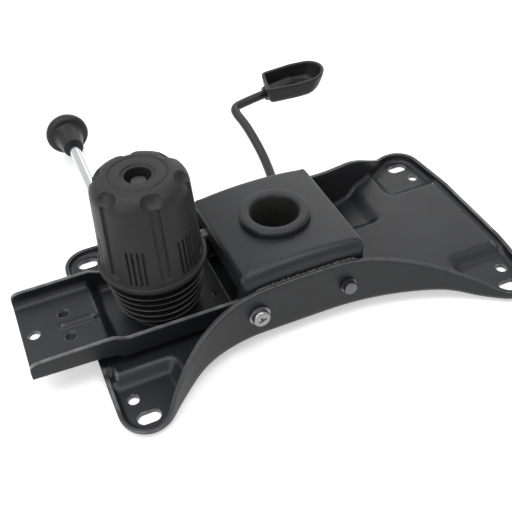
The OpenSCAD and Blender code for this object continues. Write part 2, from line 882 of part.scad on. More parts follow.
module back_bar_nuts() {
    color(zinc)
        for (side = [-1, 1])
            translate([socket_x - bar_hole_back, side * bar_pitch / 2, bar_floor_z - bar_nut_t])
                difference() {
                    cylinder(d = bar_nut_af / cos(30), h = bar_nut_t, $fn = 6);
                    translate([0, 0, -cut])
                        cylinder(d = bar_core_d, h = bar_nut_t + 2 * cut);
                }
}

module spring_foot_cup() {
    color(zinc)
        translate([bolt_x, 0, spring_floor_top])
            difference() {
                union() {
                    cylinder(r = cup_r, h = cup_t);
                    cylinder(r = boss_r, h = cup_t + boss_h);
                }
                translate([0, 0, -cut])
                    cylinder(r = arm_hole_r - 0.5, h = cup_t + boss_h + 2 * cut);
            }
}

module spring_head_cup() {
    color(zinc)
        translate([bolt_x, 0, head_cup_low])
            difference() {
                union() {
                    cylinder(r = cup_r, h = cup_t);
                    translate([0, 0, -boss_h])
                        cylinder(r = boss_r, h = cup_t + boss_h);
                }
                translate([0, 0, -boss_h - cut])
                    cylinder(d = bolt_d + 1, h = cup_t + boss_h + 2 * cut);
            }
}

module thrust_washer() {
    color(zinc)
        translate([bolt_x, 0, washer_low])
            difference() {
                cylinder(r = boss_r, h = washer_t);
                translate([0, 0, -cut])
                    cylinder(d = bolt_d + 1, h = washer_t + 2 * cut);
            }
}

// Tension spring: one wire swept along a helix, with closed ends
wire_sides = 6;
spring_low = foot_cup_top + wire_d / 2 + 0.1;
spring_high = head_cup_low - wire_d / 2 - 0.1;
end_pitch = wire_d + 0.6;
mid_pitch = (spring_high - spring_low - 2 * end_pitch) / (spring_turns - 2);
function coil_z(t) =
    t < 1 ? spring_low + t * end_pitch
    : t > spring_turns - 1 ? spring_high - (spring_turns - t) * end_pitch
    : spring_low + end_pitch + (t - 1) * mid_pitch;
spring_path = [
    for (i = [0:turn_rings * spring_turns])
        [spring_d / 2 * cos(360 * i / turn_rings), spring_d / 2 * sin(360 * i / turn_rings), coil_z(i / turn_rings)]
];

function minus(a, b) = [a[0] - b[0], a[1] - b[1], a[2] - b[2]];
function unit(v) = v / norm(v);

// Rings of points round a path, each square to the path, with its half width and half height
function tube_rings(path, sizes, sides) =
    [for (i = [0:len(path) - 1])
        let (
            a = path[max(0, i - 1)],
            b = path[min(len(path) - 1, i + 1)],
            dir = unit(minus(b, a)),
            out = unit(cross(dir, [0, 0, 1])),
            up = cross(out, dir)
        )
        for (k = [0:sides - 1])
            path[i] + sizes[i][0] * cos(360 * k / sides) * out + sizes[i][1] * sin(360 * k / sides) * up
    ];

function tube_faces(rings, sides) =
    concat(
        [for (k = [1:sides - 2]) [0, k + 1, k]],
        [for (i = [0:rings - 2], k = [0:sides - 1], half = [0, 1])
            let (
                a = i * sides + k,
                b = i * sides + (k + 1) % sides
            )
            half == 0 ? [a, b, a + sides] : [b, b + sides, a + sides]
        ],
        [for (k = [1:sides - 2]) let (o = (rings - 1) * sides) [o, o + k, o + k + 1]]
    );

module tension_spring() {
    color(zinc)
        translate([bolt_x, 0, 0])
            polyhedron(
                tube_rings(spring_path, [for (p = spring_path) [wire_d / 2, wire_d / 2]], wire_sides),
                tube_faces(len(spring_path), wire_sides)
            );
}

// Least distance between turns, measured on the path's own points
coil_gap = min([
    for (i = [0:len(spring_path) - 1 - turn_rings], k = [-1:1])
        norm(minus(spring_path[min(len(spring_path) - 1, i + turn_rings + k)], spring_path[i]))
]) - wire_d;
echo(coil_gap = coil_gap);

// Ribbed rubber boot between the arm and the knob
function rib_r(i) = (rib_low_d + (rib_high_d - rib_low_d) * i / (rib_n - 1)) / 2;
function rib_z(i) = rib_low_z + i * rib_pitch;
crest = 0.7;
function boot_outer() =
    concat(
        [[boot_neck_r, boot_low], [boot_neck_r, rib_z(0) - rib_pitch / 2]],
        [for (i = [0:rib_n - 1], k = [0:2])
            k == 0 ? [rib_r(i), rib_z(i) - crest / 2]
            : k == 1 ? [rib_r(i), rib_z(i) + crest / 2]
            : i < rib_n - 1 ? [rib_r(i) + 0.3 - rib_deep, rib_z(i) + rib_pitch / 2]
            : [collar_r, knob_z - 1.3]
        ],
        [[collar_r, knob_z + collar_h]]
    );

module spring_boot() {
    outer = boot_outer();
    n = len(outer);
    color(rubber_black)
        translate([bolt_x, 0, 0])
            rotate_extrude()
                polygon(concat(
                    outer,
                    [for (i = [n - 1:-1:0])
                        let (step = i == 1 || (i > 1 && i < n - 2) ? 1 : 0)
                        [max(outer[i][0] - boot_t * (1 + 0.15 * step), cup_r + 0.25), outer[i][1]]
                    ]
                ));
}

// Tension knob: fluted body, round shoulder with thumb dimples, lip and hollow
body_low_z = knob_z + lip_t;
body_top_z = knob_top - shoulder_r;
groove_n = 4;
groove_w = 1.3;
groove_deep = 1.1;
groove_top = body_low_z + 26;
groove_step = 6.2;
flute_r = 4.6;
flute_deep = 0.8;
flute_turn = 30;
side_lean = atan2((body_low_d - body_top_d) / 2, body_top_z - body_low_z);

module knob_body() {
    rotate_extrude()
        polygon(concat(
            [[0, knob_z], [lip_d / 2 - 0.8, knob_z], [lip_d / 2, knob_z + 0.8], [lip_d / 2, body_low_z - 1],
             [lip_d / 2 - 1, body_low_z], [body_low_d / 2, body_low_z]],
            arc(body_top_d / 2 - shoulder_r, body_top_z, shoulder_r, 0, 90, 8),
            [[0, knob_top]]
        ));
}

module knob_flutes() {
    for (i = [0:flute_n - 1])
        rotate([0, 0, flute_turn + i * 360 / flute_n]) {
            translate([body_low_d / 2 + flute_r - flute_deep, 0, body_low_z + 1.5])
                rotate([0, -side_lean, 0])
                    cylinder(r = flute_r, h = body_top_z - body_low_z + 2);
            translate([body_top_d / 2 - shoulder_r + (shoulder_r + 0.3 * dimple_d) * cos(48), 0,
                       body_top_z + (shoulder_r + 0.3 * dimple_d) * sin(48)])
                sphere(d = dimple_d);
        }
}

module knob_grooves() {
    for (i = [0:flute_n - 1], k = [0:groove_n - 1])
        rotate([0, 0, flute_turn + (i + 0.5) * 360 / flute_n + (k - (groove_n - 1) / 2) * groove_step])
            translate([body_low_d / 2 - groove_deep, -groove_w / 2, body_low_z + 1])
                rotate([0, -side_lean, 0])
                    cube([groove_deep + 3, groove_w, groove_top - body_low_z]);
}

module tension_knob() {
    color(plastic_black)
        translate([bolt_x, 0, 0])
            difference() {
                knob_body();
                knob_flutes();
                knob_grooves();
                translate([0, 0, knob_z])
                    cylinder(r1 = cavity_low_r, r2 = cavity_top_r, h = nut_low - 0.1 - knob_z);
                translate([0, 0, knob_z - cut])
                    cylinder(r = cavity_low_r, h = 2 * cut);
                translate([0, 0, nut_low - cut])
                    cylinder(d = (nut_af + 0.2) / cos(30), h = nut_h + cut + 0.1, $fn = 6);
                translate([0, 0, nut_low])
                    cylinder(d = top_hole_d, h = knob_top - nut_low + cut);
                translate([0, 0, knob_top - 0.8])
                    cylinder(d = top_hole_d + 2.8, h = 2);
            }
}

module knob_nut() {
    color(zinc)
        translate([bolt_x, 0, nut_low])
            difference() {
                cylinder(d = nut_af / cos(30), h = nut_h, $fn = 6);
                translate([0, 0, -cut])
                    cylinder(r = bolt_d / 2 + run_gap, h = nut_h + 2 * cut);
            }
}

// Height lever: a bent rod from under the column socket to the paddle
tongue_end = [socket_x + 1, -3, lever_z];
wall_run = 14;
inner_end = [lever_x, wall_mid - wall_run, lever_z];
wall_point = [lever_x, wall_mid, lever_z];
outer_start = [lever_x, wall_mid + wall_run, lever_z];
tongue_size = [4.5, 2];
tongue_rings = 4;
lever_points = [
    tongue_end,
    (tongue_end + inner_end) / 2,
    inner_end,
    wall_point,
    outer_start,
    [socket_x + 34, 85.8, 13],
    [socket_x + 36.2, 104, 17],
    [socket_x + 36.6, 122, 21.5],
    [socket_x + 36.2, 138, 25],
    [socket_x + 34.4, 150, 27.5],
    [socket_x + 35.6, 155.6, 28.2],
    [socket_x + 41, 158.8, 28.5],
    [socket_x + 84, 164.6, 31]
];

// Path with every corner rounded between the middles of its two runs
function round_path(points, steps) =
    concat(
        [points[0]],
        [for (i = [1:len(points) - 2], k = [0:steps])
            let (
                t = k / steps,
                a = (points[i - 1] + points[i]) / 2,
                b = (points[i] + points[i + 1]) / 2
            )
            if (k > 0 || i == 1) (1 - t) * (1 - t) * a + 2 * t * (1 - t) * points[i] + t * t * b
        ],
        [points[len(points) - 1]]
    );

lever_sides = 16;
module lever_rod() {
    path = round_path(lever_points, 3);
    sizes = [for (i = [0:len(path) - 1]) i < tongue_rings ? tongue_size : [lever_d / 2, lever_d / 2]];
    color(coat_black)
        polyhedron(
            tube_rings(path, sizes, lever_sides),
            tube_faces(len(path), lever_sides)
        );
}

// Scoop-shaped paddle with an inner tube for the rod's end
paddle_run = minus(lever_points[len(lever_points) - 1], lever_points[len(lever_points) - 2]);
paddle_turn = atan2(paddle_run[1], paddle_run[0]);
paddle_pitch = atan2(paddle_run[2], norm([paddle_run[0], paddle_run[1]]));
paddle_at = [socket_x + 53, 160.4, 29.2];
scoop_start = 11;
scoop_drop = 4.5;
scoop_rise = 4;
boss_reach = 34;
boss_end_t = 1.8;
function paddle_plan(inset) =
    let (
        l = paddle_l,
        w = paddle_w / 2 - inset,
        tip = w * 0.98
    )
    concat(
        arc(l - inset - tip, 0, tip, -72, 72, 14),
        arc(l * 0.5, 0, w, 84, 96, 3),
        [[inset + 2, w * 0.86], [inset, w * 0.78], [inset, -w * 0.78], [inset + 2, -w * 0.86]],
        arc(l * 0.5, 0, w, 264, 276, 3)
    );

module lever_paddle() {
    boss_r_out = lever_d / 2 + 2.2;
    boss_lead = 1.5;
    color(plastic_black)
        translate(paddle_at)
            rotate([0, 0, paddle_turn])
                rotate([0, -paddle_pitch, 0])
                    difference() {
                        union() {
                            translate([scoop_start, 0, 0])
                                rotate([0, -scoop_rise, -scoop_turn])
                                    difference() {
                                        translate([0, 0, -scoop_drop])
                                            linear_extrude(paddle_h)
                                                polygon(paddle_plan(0));
                                        translate([0, 0, -scoop_drop + paddle_t])
                                            linear_extrude(paddle_h)
                                                polygon(paddle_plan(paddle_t));
                                    }
                            translate([scoop_start - boss_lead, 0, 0])
                                rotate([0, 90, 0])
                                    cylinder(r = boss_r_out, h = boss_reach - scoop_start + boss_lead);
                        }
                        translate([-cut, 0, 0])
                            rotate([0, 90, 0])
                                cylinder(r = lever_d / 2 + 0.1, h = boss_reach - boss_end_t + cut);
                    }
}

// Push-on rings that keep the height lever in its bush
ring_t = 1.2;
ring_r = lever_d / 2 + 1.8;
ring_gap = ring_r * sin(lever_pull) + move_gap;
module lever_rings() {
    color(zinc)
        for (side = [-1, 1]) {
            start = side > 0 ? bush_seat + bush_collar_t : bush_len / 2;
            translate(wall_point)
                rotate([0, 90, side * 90])
                    translate([0, 0, start + ring_gap])
                        difference() {
                            cylinder(r = ring_r, h = ring_t);
                            translate([0, 0, -cut])
                                cylinder(r = lever_d / 2 + 0.02, h = ring_t + 2 * cut);
                        }
        }
}

lock_tip_y = arm_half + 0.8;
lock_in_knob = 18;
module lock_rod() {
    l = lock_hub_y + lock_in_knob - lock_tip_y;
    color(bright_chrome)
        translate([lock_x, lock_tip_y, lock_z])
            rotate([-90, 0, 0])
                rotate_extrude()
                    polygon([
                        [0, 0], [lock_d / 2 - 0.8, 0], [lock_d / 2, 0.8],
                        [lock_d / 2, l - 0.5], [lock_d / 2 - 0.5, l], [0, l]
                    ]);
}

// Mushroom knob on the lock rod
module lock_knob() {
    hub_r0 = lock_d / 2 + 3.1;
    hub_r1 = hub_r0 + 3.4;
    head_r = lock_head_d / 2;
    neck = lock_knob_l * 0.53;
    head_t = lock_knob_l - neck;
    color(plastic_black)
        translate([lock_x, lock_hub_y, lock_z])
            rotate([-90, 0, 0])
                difference() {
                    rotate_extrude()
                        polygon(concat(
                            [[0, 0], [hub_r0 - 0.8, 0], [hub_r0, 0.8], [hub_r1, neck - 1.5],
                             [hub_r1 + 1.2, neck]],
                            arc(head_r - 4, neck + 4, 4, -90, 0, 5),
                            [for (i = [1:8])
                                let (a = 90 * i / 8)
                                [head_r * cos(a), neck + 4 + (head_t - 4) * sin(a)]
                            ]
                        ));
                    translate([0, 0, -cut])
                        cylinder(r = lock_d / 2 + 0.05, h = lock_in_knob + cut + 0.1);
                }
}

module lock_collar() {
    y0 = bracket_y + lock_bush_l + lock_travel + 0.3;
    color(zinc)
        translate([lock_x, y0, lock_z])
            rotate([-90, 0, 0])
                difference() {
                    cylinder(r = lock_d / 2 + 2, h = 2);
                    translate([0, 0, -cut])
                        cylinder(r = lock_d / 2 + 0.05, h = 2 + 2 * cut);
                }
}

seat_plate();
centre_housing();
housing_welds();
column_socket();
pivot_pin();
pivot_rings();
stop_screw();
stop_washers();
stop_nut();
tension_bolt();
lever_bush();
lock_bracket();
lock_bush();
back_arm();
arm_bushes();
back_bar_nuts();
spring_foot_cup();
spring_head_cup();
thrust_washer();
tension_spring();
spring_boot();
tension_knob();
knob_nut();
lever_rod();
lever_paddle();
lever_rings();
lock_rod();
lock_knob();
lock_collar();
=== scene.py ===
"""Looks of a chair's push back mechanism, lying on its seat plate as in the photograph."""

import math

import bmesh
import bpy
import numpy as np
from mathutils import Matrix, Vector


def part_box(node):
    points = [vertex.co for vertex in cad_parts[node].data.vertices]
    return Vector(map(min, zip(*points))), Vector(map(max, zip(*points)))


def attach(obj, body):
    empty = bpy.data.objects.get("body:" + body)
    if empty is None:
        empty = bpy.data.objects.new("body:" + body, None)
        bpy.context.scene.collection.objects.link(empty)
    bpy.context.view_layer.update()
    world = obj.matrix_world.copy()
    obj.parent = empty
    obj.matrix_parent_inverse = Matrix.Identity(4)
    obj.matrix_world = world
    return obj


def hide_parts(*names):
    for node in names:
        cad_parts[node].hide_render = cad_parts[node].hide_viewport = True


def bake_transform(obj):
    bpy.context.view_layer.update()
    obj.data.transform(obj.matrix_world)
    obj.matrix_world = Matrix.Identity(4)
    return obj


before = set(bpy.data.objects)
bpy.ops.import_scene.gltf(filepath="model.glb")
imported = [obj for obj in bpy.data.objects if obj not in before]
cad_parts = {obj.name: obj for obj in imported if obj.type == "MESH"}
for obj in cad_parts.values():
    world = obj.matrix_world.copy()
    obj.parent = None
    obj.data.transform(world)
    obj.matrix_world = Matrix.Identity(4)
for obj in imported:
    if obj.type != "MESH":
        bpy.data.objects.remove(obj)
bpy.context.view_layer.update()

MM = 0.001
TURN = 2 * math.pi


def corners(node):
    """Lowest and highest corner of a CAD node, in millimetres."""
    low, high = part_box(node)
    return np.array(low) / MM, np.array(high) / MM


PLATE_LOW, PLATE_HIGH = corners("seat_plate")
_, HOUSE_HIGH = corners("centre_housing")
SOCKET_LOW, SOCKET_HIGH = corners("column_socket")
ARM_LOW, ARM_HIGH = corners("back_arm")
KNOB_LOW, KNOB_HIGH = corners("tension_knob")
BOOT_LOW, BOOT_HIGH = corners("spring_boot")
SPRING_LOW, SPRING_HIGH = corners("tension_spring")
ROD_LOW, ROD_HIGH = corners("lock_rod")
LOCK_KNOB_LOW, LOCK_KNOB_HIGH = corners("lock_knob")
PIN_LOW, PIN_HIGH = corners("pivot_pin")
SCREW_LOW, SCREW_HIGH = corners("stop_screw")

SOCKET_X = (SOCKET_LOW[0] + SOCKET_HIGH[0]) / 2
BOLT_X = (KNOB_LOW[0] + KNOB_HIGH[0]) / 2
LOCK_X = (ROD_LOW[0] + ROD_HIGH[0]) / 2
LOCK_Z = (ROD_LOW[2] + ROD_HIGH[2]) / 2
PIN_Z = (PIN_LOW[2] + PIN_HIGH[2]) / 2
PIN_X = (PIN_LOW[0] + PIN_HIGH[0]) / 2
STOP_X = (SCREW_LOW[0] + SCREW_HIGH[0]) / 2
SHEET = 2.5


# Meshes

def surface(points, wrap_u=False, wrap_v=False):
    """Quads between neighbouring points of a grid; either way round may be wrapped."""
    rows, columns = points.shape[:2]
    i = np.arange(rows if wrap_u else rows - 1)
    j = np.arange(columns if wrap_v else columns - 1)
    i, j = np.meshgrid(i, j, indexing="ij")
    next_i = (i + 1) % rows
    next_j = (j + 1) % columns
    quads = np.stack([
        i * columns + j, next_i * columns + j, next_i * columns + next_j, i * columns + next_j], -1)
    return points.reshape(-1, 3), quads.reshape(-1, 4)


def new_object(name, data):
    """An object of the scene, at its origin."""
    thing = bpy.data.objects.new(name, data)
    bpy.context.collection.objects.link(thing)
    return thing


def merge(mesh, reach, thin, outwards=False):
    """Merges doubles and drops faces with no area, within distances in metres; outwards turns faces out."""
    shape = bmesh.new()
    shape.from_mesh(mesh)
    bmesh.ops.remove_doubles(shape, verts=shape.verts, dist=reach)
    bmesh.ops.dissolve_degenerate(shape, edges=shape.edges, dist=thin)
    if outwards:
        bmesh.ops.recalc_face_normals(shape, faces=shape.faces)
    shape.to_mesh(mesh)
    shape.free()


def mesh_object(name, parts, sharp=35.0):
    """One object in metres from grids in millimetres: doubles merged, faces outwards, smooth but for sharp
    edges."""
    vertices = np.concatenate([points for points, _ in parts]) * MM
    starts = np.cumsum([0] + [len(points) for points, _ in parts[:-1]])
    quads = np.concatenate([faces + start for (_, faces), start in zip(parts, starts)])
    mesh = bpy.data.meshes.new(name)
    mesh.from_pydata(vertices, [], quads)
    merge(mesh, 2e-6, 1e-6, outwards=True)
    thing = new_object(name, mesh)
    soften(thing, sharp)
    return thing


def soften(thing, sharp=35.0):
    """Smooth shading, with edges sharper than the angle kept crisp."""
    mesh = thing.data
    mesh.polygons.foreach_set("use_smooth", np.ones(len(mesh.polygons), bool))
    mesh.set_sharp_from_angle(angle=math.radians(sharp))


def dress(thing, body, slot, material, *nodes):
    """Gives a piece its material, sets it on its body and lets it stand for CAD nodes. The slot is not used.
    """
    thing.data.materials.clear()
    thing.data.materials.append(material)
    if body:
        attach(thing, body)
    if nodes:
        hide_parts(*nodes)
    return thing


AXES = {
    "x": (np.array([0.0, 1, 0]), np.array([0.0, 0, 1]), np.array([1.0, 0, 0])),
    "y": (np.array([0.0, 0, 1]), np.array([1.0, 0, 0]), np.array([0.0, 1, 0])),
    "z": (np.array([1.0, 0, 0]), np.array([0.0, 1, 0]), np.array([0.0, 0, 1])),
}


def turned(profile, centre, axis="z", steps=96, ring=False):
    """A profile of (radius, height) turned about an axis through centre; ring wraps the profile on itself."""
    across, up, along = AXES[axis]
    radius, height = np.array(profile, float).T
    angle = np.linspace(0, TURN, steps, endpoint=False)[:, None, None]
    round_way = np.cos(angle) * across + np.sin(angle) * up
    points = np.array(centre, float) + radius[None, :, None] * round_way + height[None, :, None] * along
    return surface(points, wrap_u=True, wrap_v=ring)


def quarter(count):
    """Evenly spaced angles of a quarter turn."""
    return np.linspace(0, math.pi / 2, count)


def eased(path, radius=0.5, steps=4):
    """A path whose inner corners are rounded by a curve that starts and ends radius away along both runs."""
    path = np.array(path, float)
    out = [path[:1]]
    t = np.linspace(0, 1, steps + 1)[:, None]
    for before, corner, after in zip(path[:-2], path[1:-1], path[2:]):
        back, forth = before - corner, after - corner
        reach = min(radius, 0.45 * np.linalg.norm(back), 0.45 * np.linalg.norm(forth))
        start = corner + back / np.linalg.norm(back) * reach
        end = corner + forth / np.linalg.norm(forth) * reach
        out.append((1 - t) ** 2 * start + 2 * t * (1 - t) * corner + t ** 2 * end)
    out.append(path[-1:])
    return np.concatenate(out)


def eased_ring(path, radius=0.5, steps=4):
    """The same rounding on every corner of a closed profile."""
    path = np.array(path, float)
    middle = (path[0] + path[-1]) / 2
    return eased(np.vstack([[middle], path, [middle]]), radius, steps)[:-1]


def drilled(thing, cutters, sharp=35.0):
    """Takes the closed cutter shapes out of a piece, through its evaluated mesh."""
    tool = mesh_object(thing.name + "_cutter", cutters)
    change = thing.modifiers.new("holes", "BOOLEAN")
    change.operation = "DIFFERENCE"
    change.solver = "MANIFOLD"
    change.object = tool
    whole = thing.evaluated_get(bpy.context.evaluated_depsgraph_get())
    cut = bpy.data.meshes.new_from_object(whole)
    thing.modifiers.clear()
    merge(cut, 1e-5, 1e-5)
    thing.data = cut
    bpy.data.objects.remove(tool)
    soften(thing, sharp)
    return thing


def bar(low, high):
    """A closed box between two corners."""
    (x0, y0, z0), (x1, y1, z1) = low, high
    ring = np.array([[x0, y0], [x1, y0], [x1, y1], [x0, y1]], float)
    middle = np.tile(ring.mean(0), (4, 1))
    flat = np.stack([middle, ring, ring, middle], 1)
    height = np.broadcast_to(np.array([z0, z0, z1, z1], float)[None, :, None], (4, 4, 1))
    return surface(np.concatenate([flat, height], -1), wrap_u=True)


def drill(centre, axis, radius, length, steps=48):
    """A closed cylinder centred on a point, for a hole."""
    half = length / 2
    return turned([(0, -half), (radius, -half), (radius, half), (0, half)], centre, axis, steps)


def slotted(centre, length, width, depth, steps=24):
    """A closed slot with round ends along X, for a hole in the plate."""
    reach = (length - width) / 2
    angle = np.linspace(-math.pi / 2, math.pi / 2, steps)
    right = np.stack([reach + width / 2 * np.cos(angle), width / 2 * np.sin(angle)], -1)
    ring = np.concatenate([right, -right])
    flat = np.stack([ring * 0, ring, ring, ring * 0], 1)
    height = np.broadcast_to(np.array([-1, -1, 1, 1])[None, :, None] * depth / 2, (len(ring), 4, 1))
    return surface(np.concatenate([flat, height], -1) + np.array(centre, float), wrap_u=True)


def smooth_step(value, start, end):
    """0 before start, 1 after end and an S between them."""
    t = np.clip((value - start) / (end - start), 0, 1)
    return t * t * (3 - 2 * t)


def softened(ring, rounds):
    """Values or points round a ring, averaged with their two neighbours so many times."""
    for _ in range(rounds):
        ring = 0.25 * np.roll(ring, 1, 0) + 0.5 * ring + 0.25 * np.roll(ring, -1, 0)
    return ring


def closed_outline(points, spacing, soft=0):
    """A closed outline taken again at even steps and softened, with its inward unit normals."""
    ring = np.vstack([points, points[:1]])
    length = np.concatenate([[0], np.cumsum(np.linalg.norm(np.diff(ring, axis=0), axis=1))])
    count = int(length[-1] / spacing / 2) * 2
    at = np.linspace(0, length[-1], count, endpoint=False)
    even = np.stack([np.interp(at, length, ring[:, 0]), np.interp(at, length, ring[:, 1])], -1)
    even = softened(even, soft)
    along = np.roll(even, -1, 0) - np.roll(even, 1, 0)
    along /= np.linalg.norm(along, axis=1, keepdims=True)
    normal = np.stack([-along[:, 1], along[:, 0]], -1)
    area = np.sum(even[:, 0] * np.roll(even[:, 1], -1) - np.roll(even[:, 0], -1) * even[:, 1])
    return even, normal * (1 if area > 0 else -1)


def eased_down(low, widen, soft):
    """Values round a ring, each the lowest of its neighbours and then averaged, so a step becomes a slope."""
    for _ in range(widen):
        low = np.minimum(low, np.minimum(np.roll(low, 1), np.roll(low, -1)))
    return softened(low, soft)


def middle_line(edge, start, end):
    """The point on a middle line along X that belongs to each station of an outline."""
    return np.stack([np.clip(edge[:, 0], start, end), edge[:, 1] * 0], -1)


def tray(edge, inward, rim, floor, middle, sheet, bend, lip, wall_steps, floor_steps, widen=0, soft=0):
    """A pressed tray. From the rim's rounded edge each station goes down the wall, round the bend and along
    the floor to its point on the middle line, once inside and once a sheet's thickness outside. The outer
    wall's foot follows the floor's steps as a slope, widened and softened by so many stations."""
    bend = np.broadcast_to(np.asarray(bend, float), rim.shape)
    foot = edge + inward * (sheet + bend)[:, None]
    foot_z = floor(foot[:, 0], foot[:, 1])
    rim = np.maximum(rim, foot_z)
    lip_arc, bend_arc = quarter(4)[None, :], quarter(9)[None, :]
    inner_lip = np.minimum(lip, (rim - foot_z) / 2)[:, None]
    inner_bend = np.clip(rim - foot_z - inner_lip[:, 0], 0, bend)
    outer_foot = eased_down(foot_z - sheet, widen, soft)
    outer_bend = np.minimum(inner_bend + sheet, rim - foot_z + sheet - lip)
    run = np.linspace(0, 1, wall_steps)[None, 1:-1]
    level = np.linspace(0, 1, floor_steps)[None, 1:] ** 1.2

    def side(depth, z):
        flat = edge[:, None, :] + inward[:, None, :] * depth[..., None]
        return np.concatenate([flat, z[..., None]], -1)

    def across(start_depth, drop):
        start = edge + inward * start_depth[:, None]
        flat = start[:, None, :] + (middle - start)[:, None, :] * level[..., None]
        return np.concatenate([flat, (floor(flat[..., 0], flat[..., 1]) - drop)[..., None]], -1)

    def path(lip_size, lip_from, lip_way, wall_depth, radius, low, drop):
        lip_z = rim[:, None] - lip_size + lip_size * np.cos(lip_arc)
        lip_part = side(lip_from + lip_way * lip_size * np.sin(lip_arc), lip_z)
        top, bottom = lip_z[:, -1:], (low + radius)[:, None]
        wall = side(np.full((len(edge), run.shape[1]), float(wall_depth)), top + (bottom - top) * run)
        turn = side(wall_depth + radius[:, None] * (1 - np.cos(bend_arc)),
                    (low + radius)[:, None] - radius[:, None] * np.sin(bend_arc))
        return np.concatenate([lip_part, wall, turn, across(wall_depth + radius, drop)], 1)

    inside = path(inner_lip, sheet - inner_lip, 1, sheet, inner_bend, foot_z, 0)
    even_lip = np.full_like(inner_lip, lip)
    outside = path(even_lip, even_lip, -1, 0, outer_bend, outer_foot, sheet)
    return np.concatenate([outside[:, ::-1], inside], 1)


def capped(rings, first, last):
    """A run of rings whose two ends are each drawn together in a point."""
    start, end = (np.broadcast_to(point, (1, *rings.shape[1:])) for point in (first, last))
    return surface(np.concatenate([start, rings, end]), wrap_v=True)


def tube(path, half_width, half_height, sides=24):
    """A round or flattened section carried square along a path, closed at both ends."""
    along = np.gradient(path, axis=0)
    along /= np.linalg.norm(along, axis=1, keepdims=True)
    out = np.cross(along, [0, 0, 1])
    out /= np.linalg.norm(out, axis=1, keepdims=True)
    up = np.cross(out, along)
    angle = np.linspace(0, TURN, sides, endpoint=False)[None, :, None]
    w = np.broadcast_to(half_width, len(path))[:, None, None]
    h = np.broadcast_to(half_height, len(path))[:, None, None]
    rings = path[:, None, :] + w * np.cos(angle) * out[:, None, :] + h * np.sin(angle) * up[:, None, :]
    return capped(rings, path[0], path[-1])


def rounded_route(points, steps=12):
    """A route whose every corner is a curve between the middles of its two runs."""
    points = np.array(points, float)
    t = np.linspace(0, 1, steps, endpoint=False)[:, None]
    middle = (points[:-1] + points[1:]) / 2
    bends = [
        (1 - t) ** 2 * a + 2 * t * (1 - t) * corner + t ** 2 * b
        for a, corner, b in zip(middle[:-1], points[1:-1], middle[1:])
    ]
    return np.concatenate([points[:1], *bends, middle[-1:], points[-1:]])


# Materials

def new_material(name):
    """A new node material, its tree, its shader and the Object coordinates."""
    material = bpy.data.materials.new(name)
    material.use_nodes = True
    nodes = material.node_tree.nodes
    shader = nodes["Principled BSDF"]
    place = nodes.new("ShaderNodeTexCoord")
    return material, material.node_tree, shader, place.outputs["Object"]


def noise(tree, place, scale, detail=3.0, roughness=0.5):
    """A noise texture on the object's own coordinates, in metres."""
    texture = tree.nodes.new("ShaderNodeTexNoise")
    texture.inputs["Scale"].default_value = scale
    texture.inputs["Detail"].default_value = detail
    texture.inputs["Roughness"].default_value = roughness
    tree.links.new(place, texture.inputs["Vector"])
    return texture.outputs["Fac"]


def ramp(tree, value, stops):
    """A colour ramp with the given (position, colour) stops."""
    node = tree.nodes.new("ShaderNodeValToRGB")
    node.color_ramp.elements[0].position = stops[0][0]
    node.color_ramp.elements[0].color = (*stops[0][1], 1)
    node.color_ramp.elements[1].position = stops[-1][0]
    node.color_ramp.elements[1].color = (*stops[-1][1], 1)
    for position, colour in stops[1:-1]:
        node.color_ramp.elements.new(position).color = (*colour, 1)
    tree.links.new(value, node.inputs["Fac"])
    return node.outputs["Color"]


def shades(tree, value, base, *stops):
    """A pattern as shades of one colour, from (position, share of the colour) stops."""
    return ramp(tree, value, [(position, tuple(share * c for c in base)) for position, share in stops])


def coat_cloud(tree, place, base):
    """The coat's faint cloudy colour."""
    return shades(tree, noise(tree, place, 35.0, 4.0), base, (0.35, 0.86), (0.65, 1.14))


def blend_colour(tree, share, first, second):
    """Two colours mixed by a share from 0 to 1."""
    node = tree.nodes.new("ShaderNodeMix")
    node.data_type = "RGBA"
    tree.links.new(share, node.inputs["Factor"])
    for socket, colour in ((node.inputs["A"], first), (node.inputs["B"], second)):
        if isinstance(colour, tuple):
            socket.default_value = (*colour, 1)
        else:
            tree.links.new(colour, socket)
    return node.outputs["Result"]


def arithmetic(tree, operation, *values):
    """One math node on sockets or numbers."""
    node = tree.nodes.new("ShaderNodeMath")
    node.operation = operation
    for socket, value in zip(node.inputs, values):
        if isinstance(value, (int, float)):
            socket.default_value = value
        else:
            tree.links.new(value, socket)
    return node.outputs[0]


def bumped(tree, shader, height, depth, strength=1.0):
    """Sends a height pattern to the shader's normal; depth is in metres."""
    node = tree.nodes.new("ShaderNodeBump")
    node.inputs["Strength"].default_value = strength
    node.inputs["Distance"].default_value = depth
    tree.links.new(height, node.inputs["Height"])
    tree.links.new(node.outputs["Normal"], shader.inputs["Normal"])


def edge_share(tree, start, end):
    """0 on flats and 1 on outer edges, from the mesh's own pointiness."""
    geometry = tree.nodes.new("ShaderNodeNewGeometry")
    node = tree.nodes.new("ShaderNodeMapRange")
    node.inputs["From Min"].default_value = start
    node.inputs["From Max"].default_value = end
    tree.links.new(geometry.outputs["Pointiness"], node.inputs["Value"])
    return node.outputs["Result"]


ORANGE_PEEL = (1500.0, 2.0)
COAT_RELIEF = 0.00006


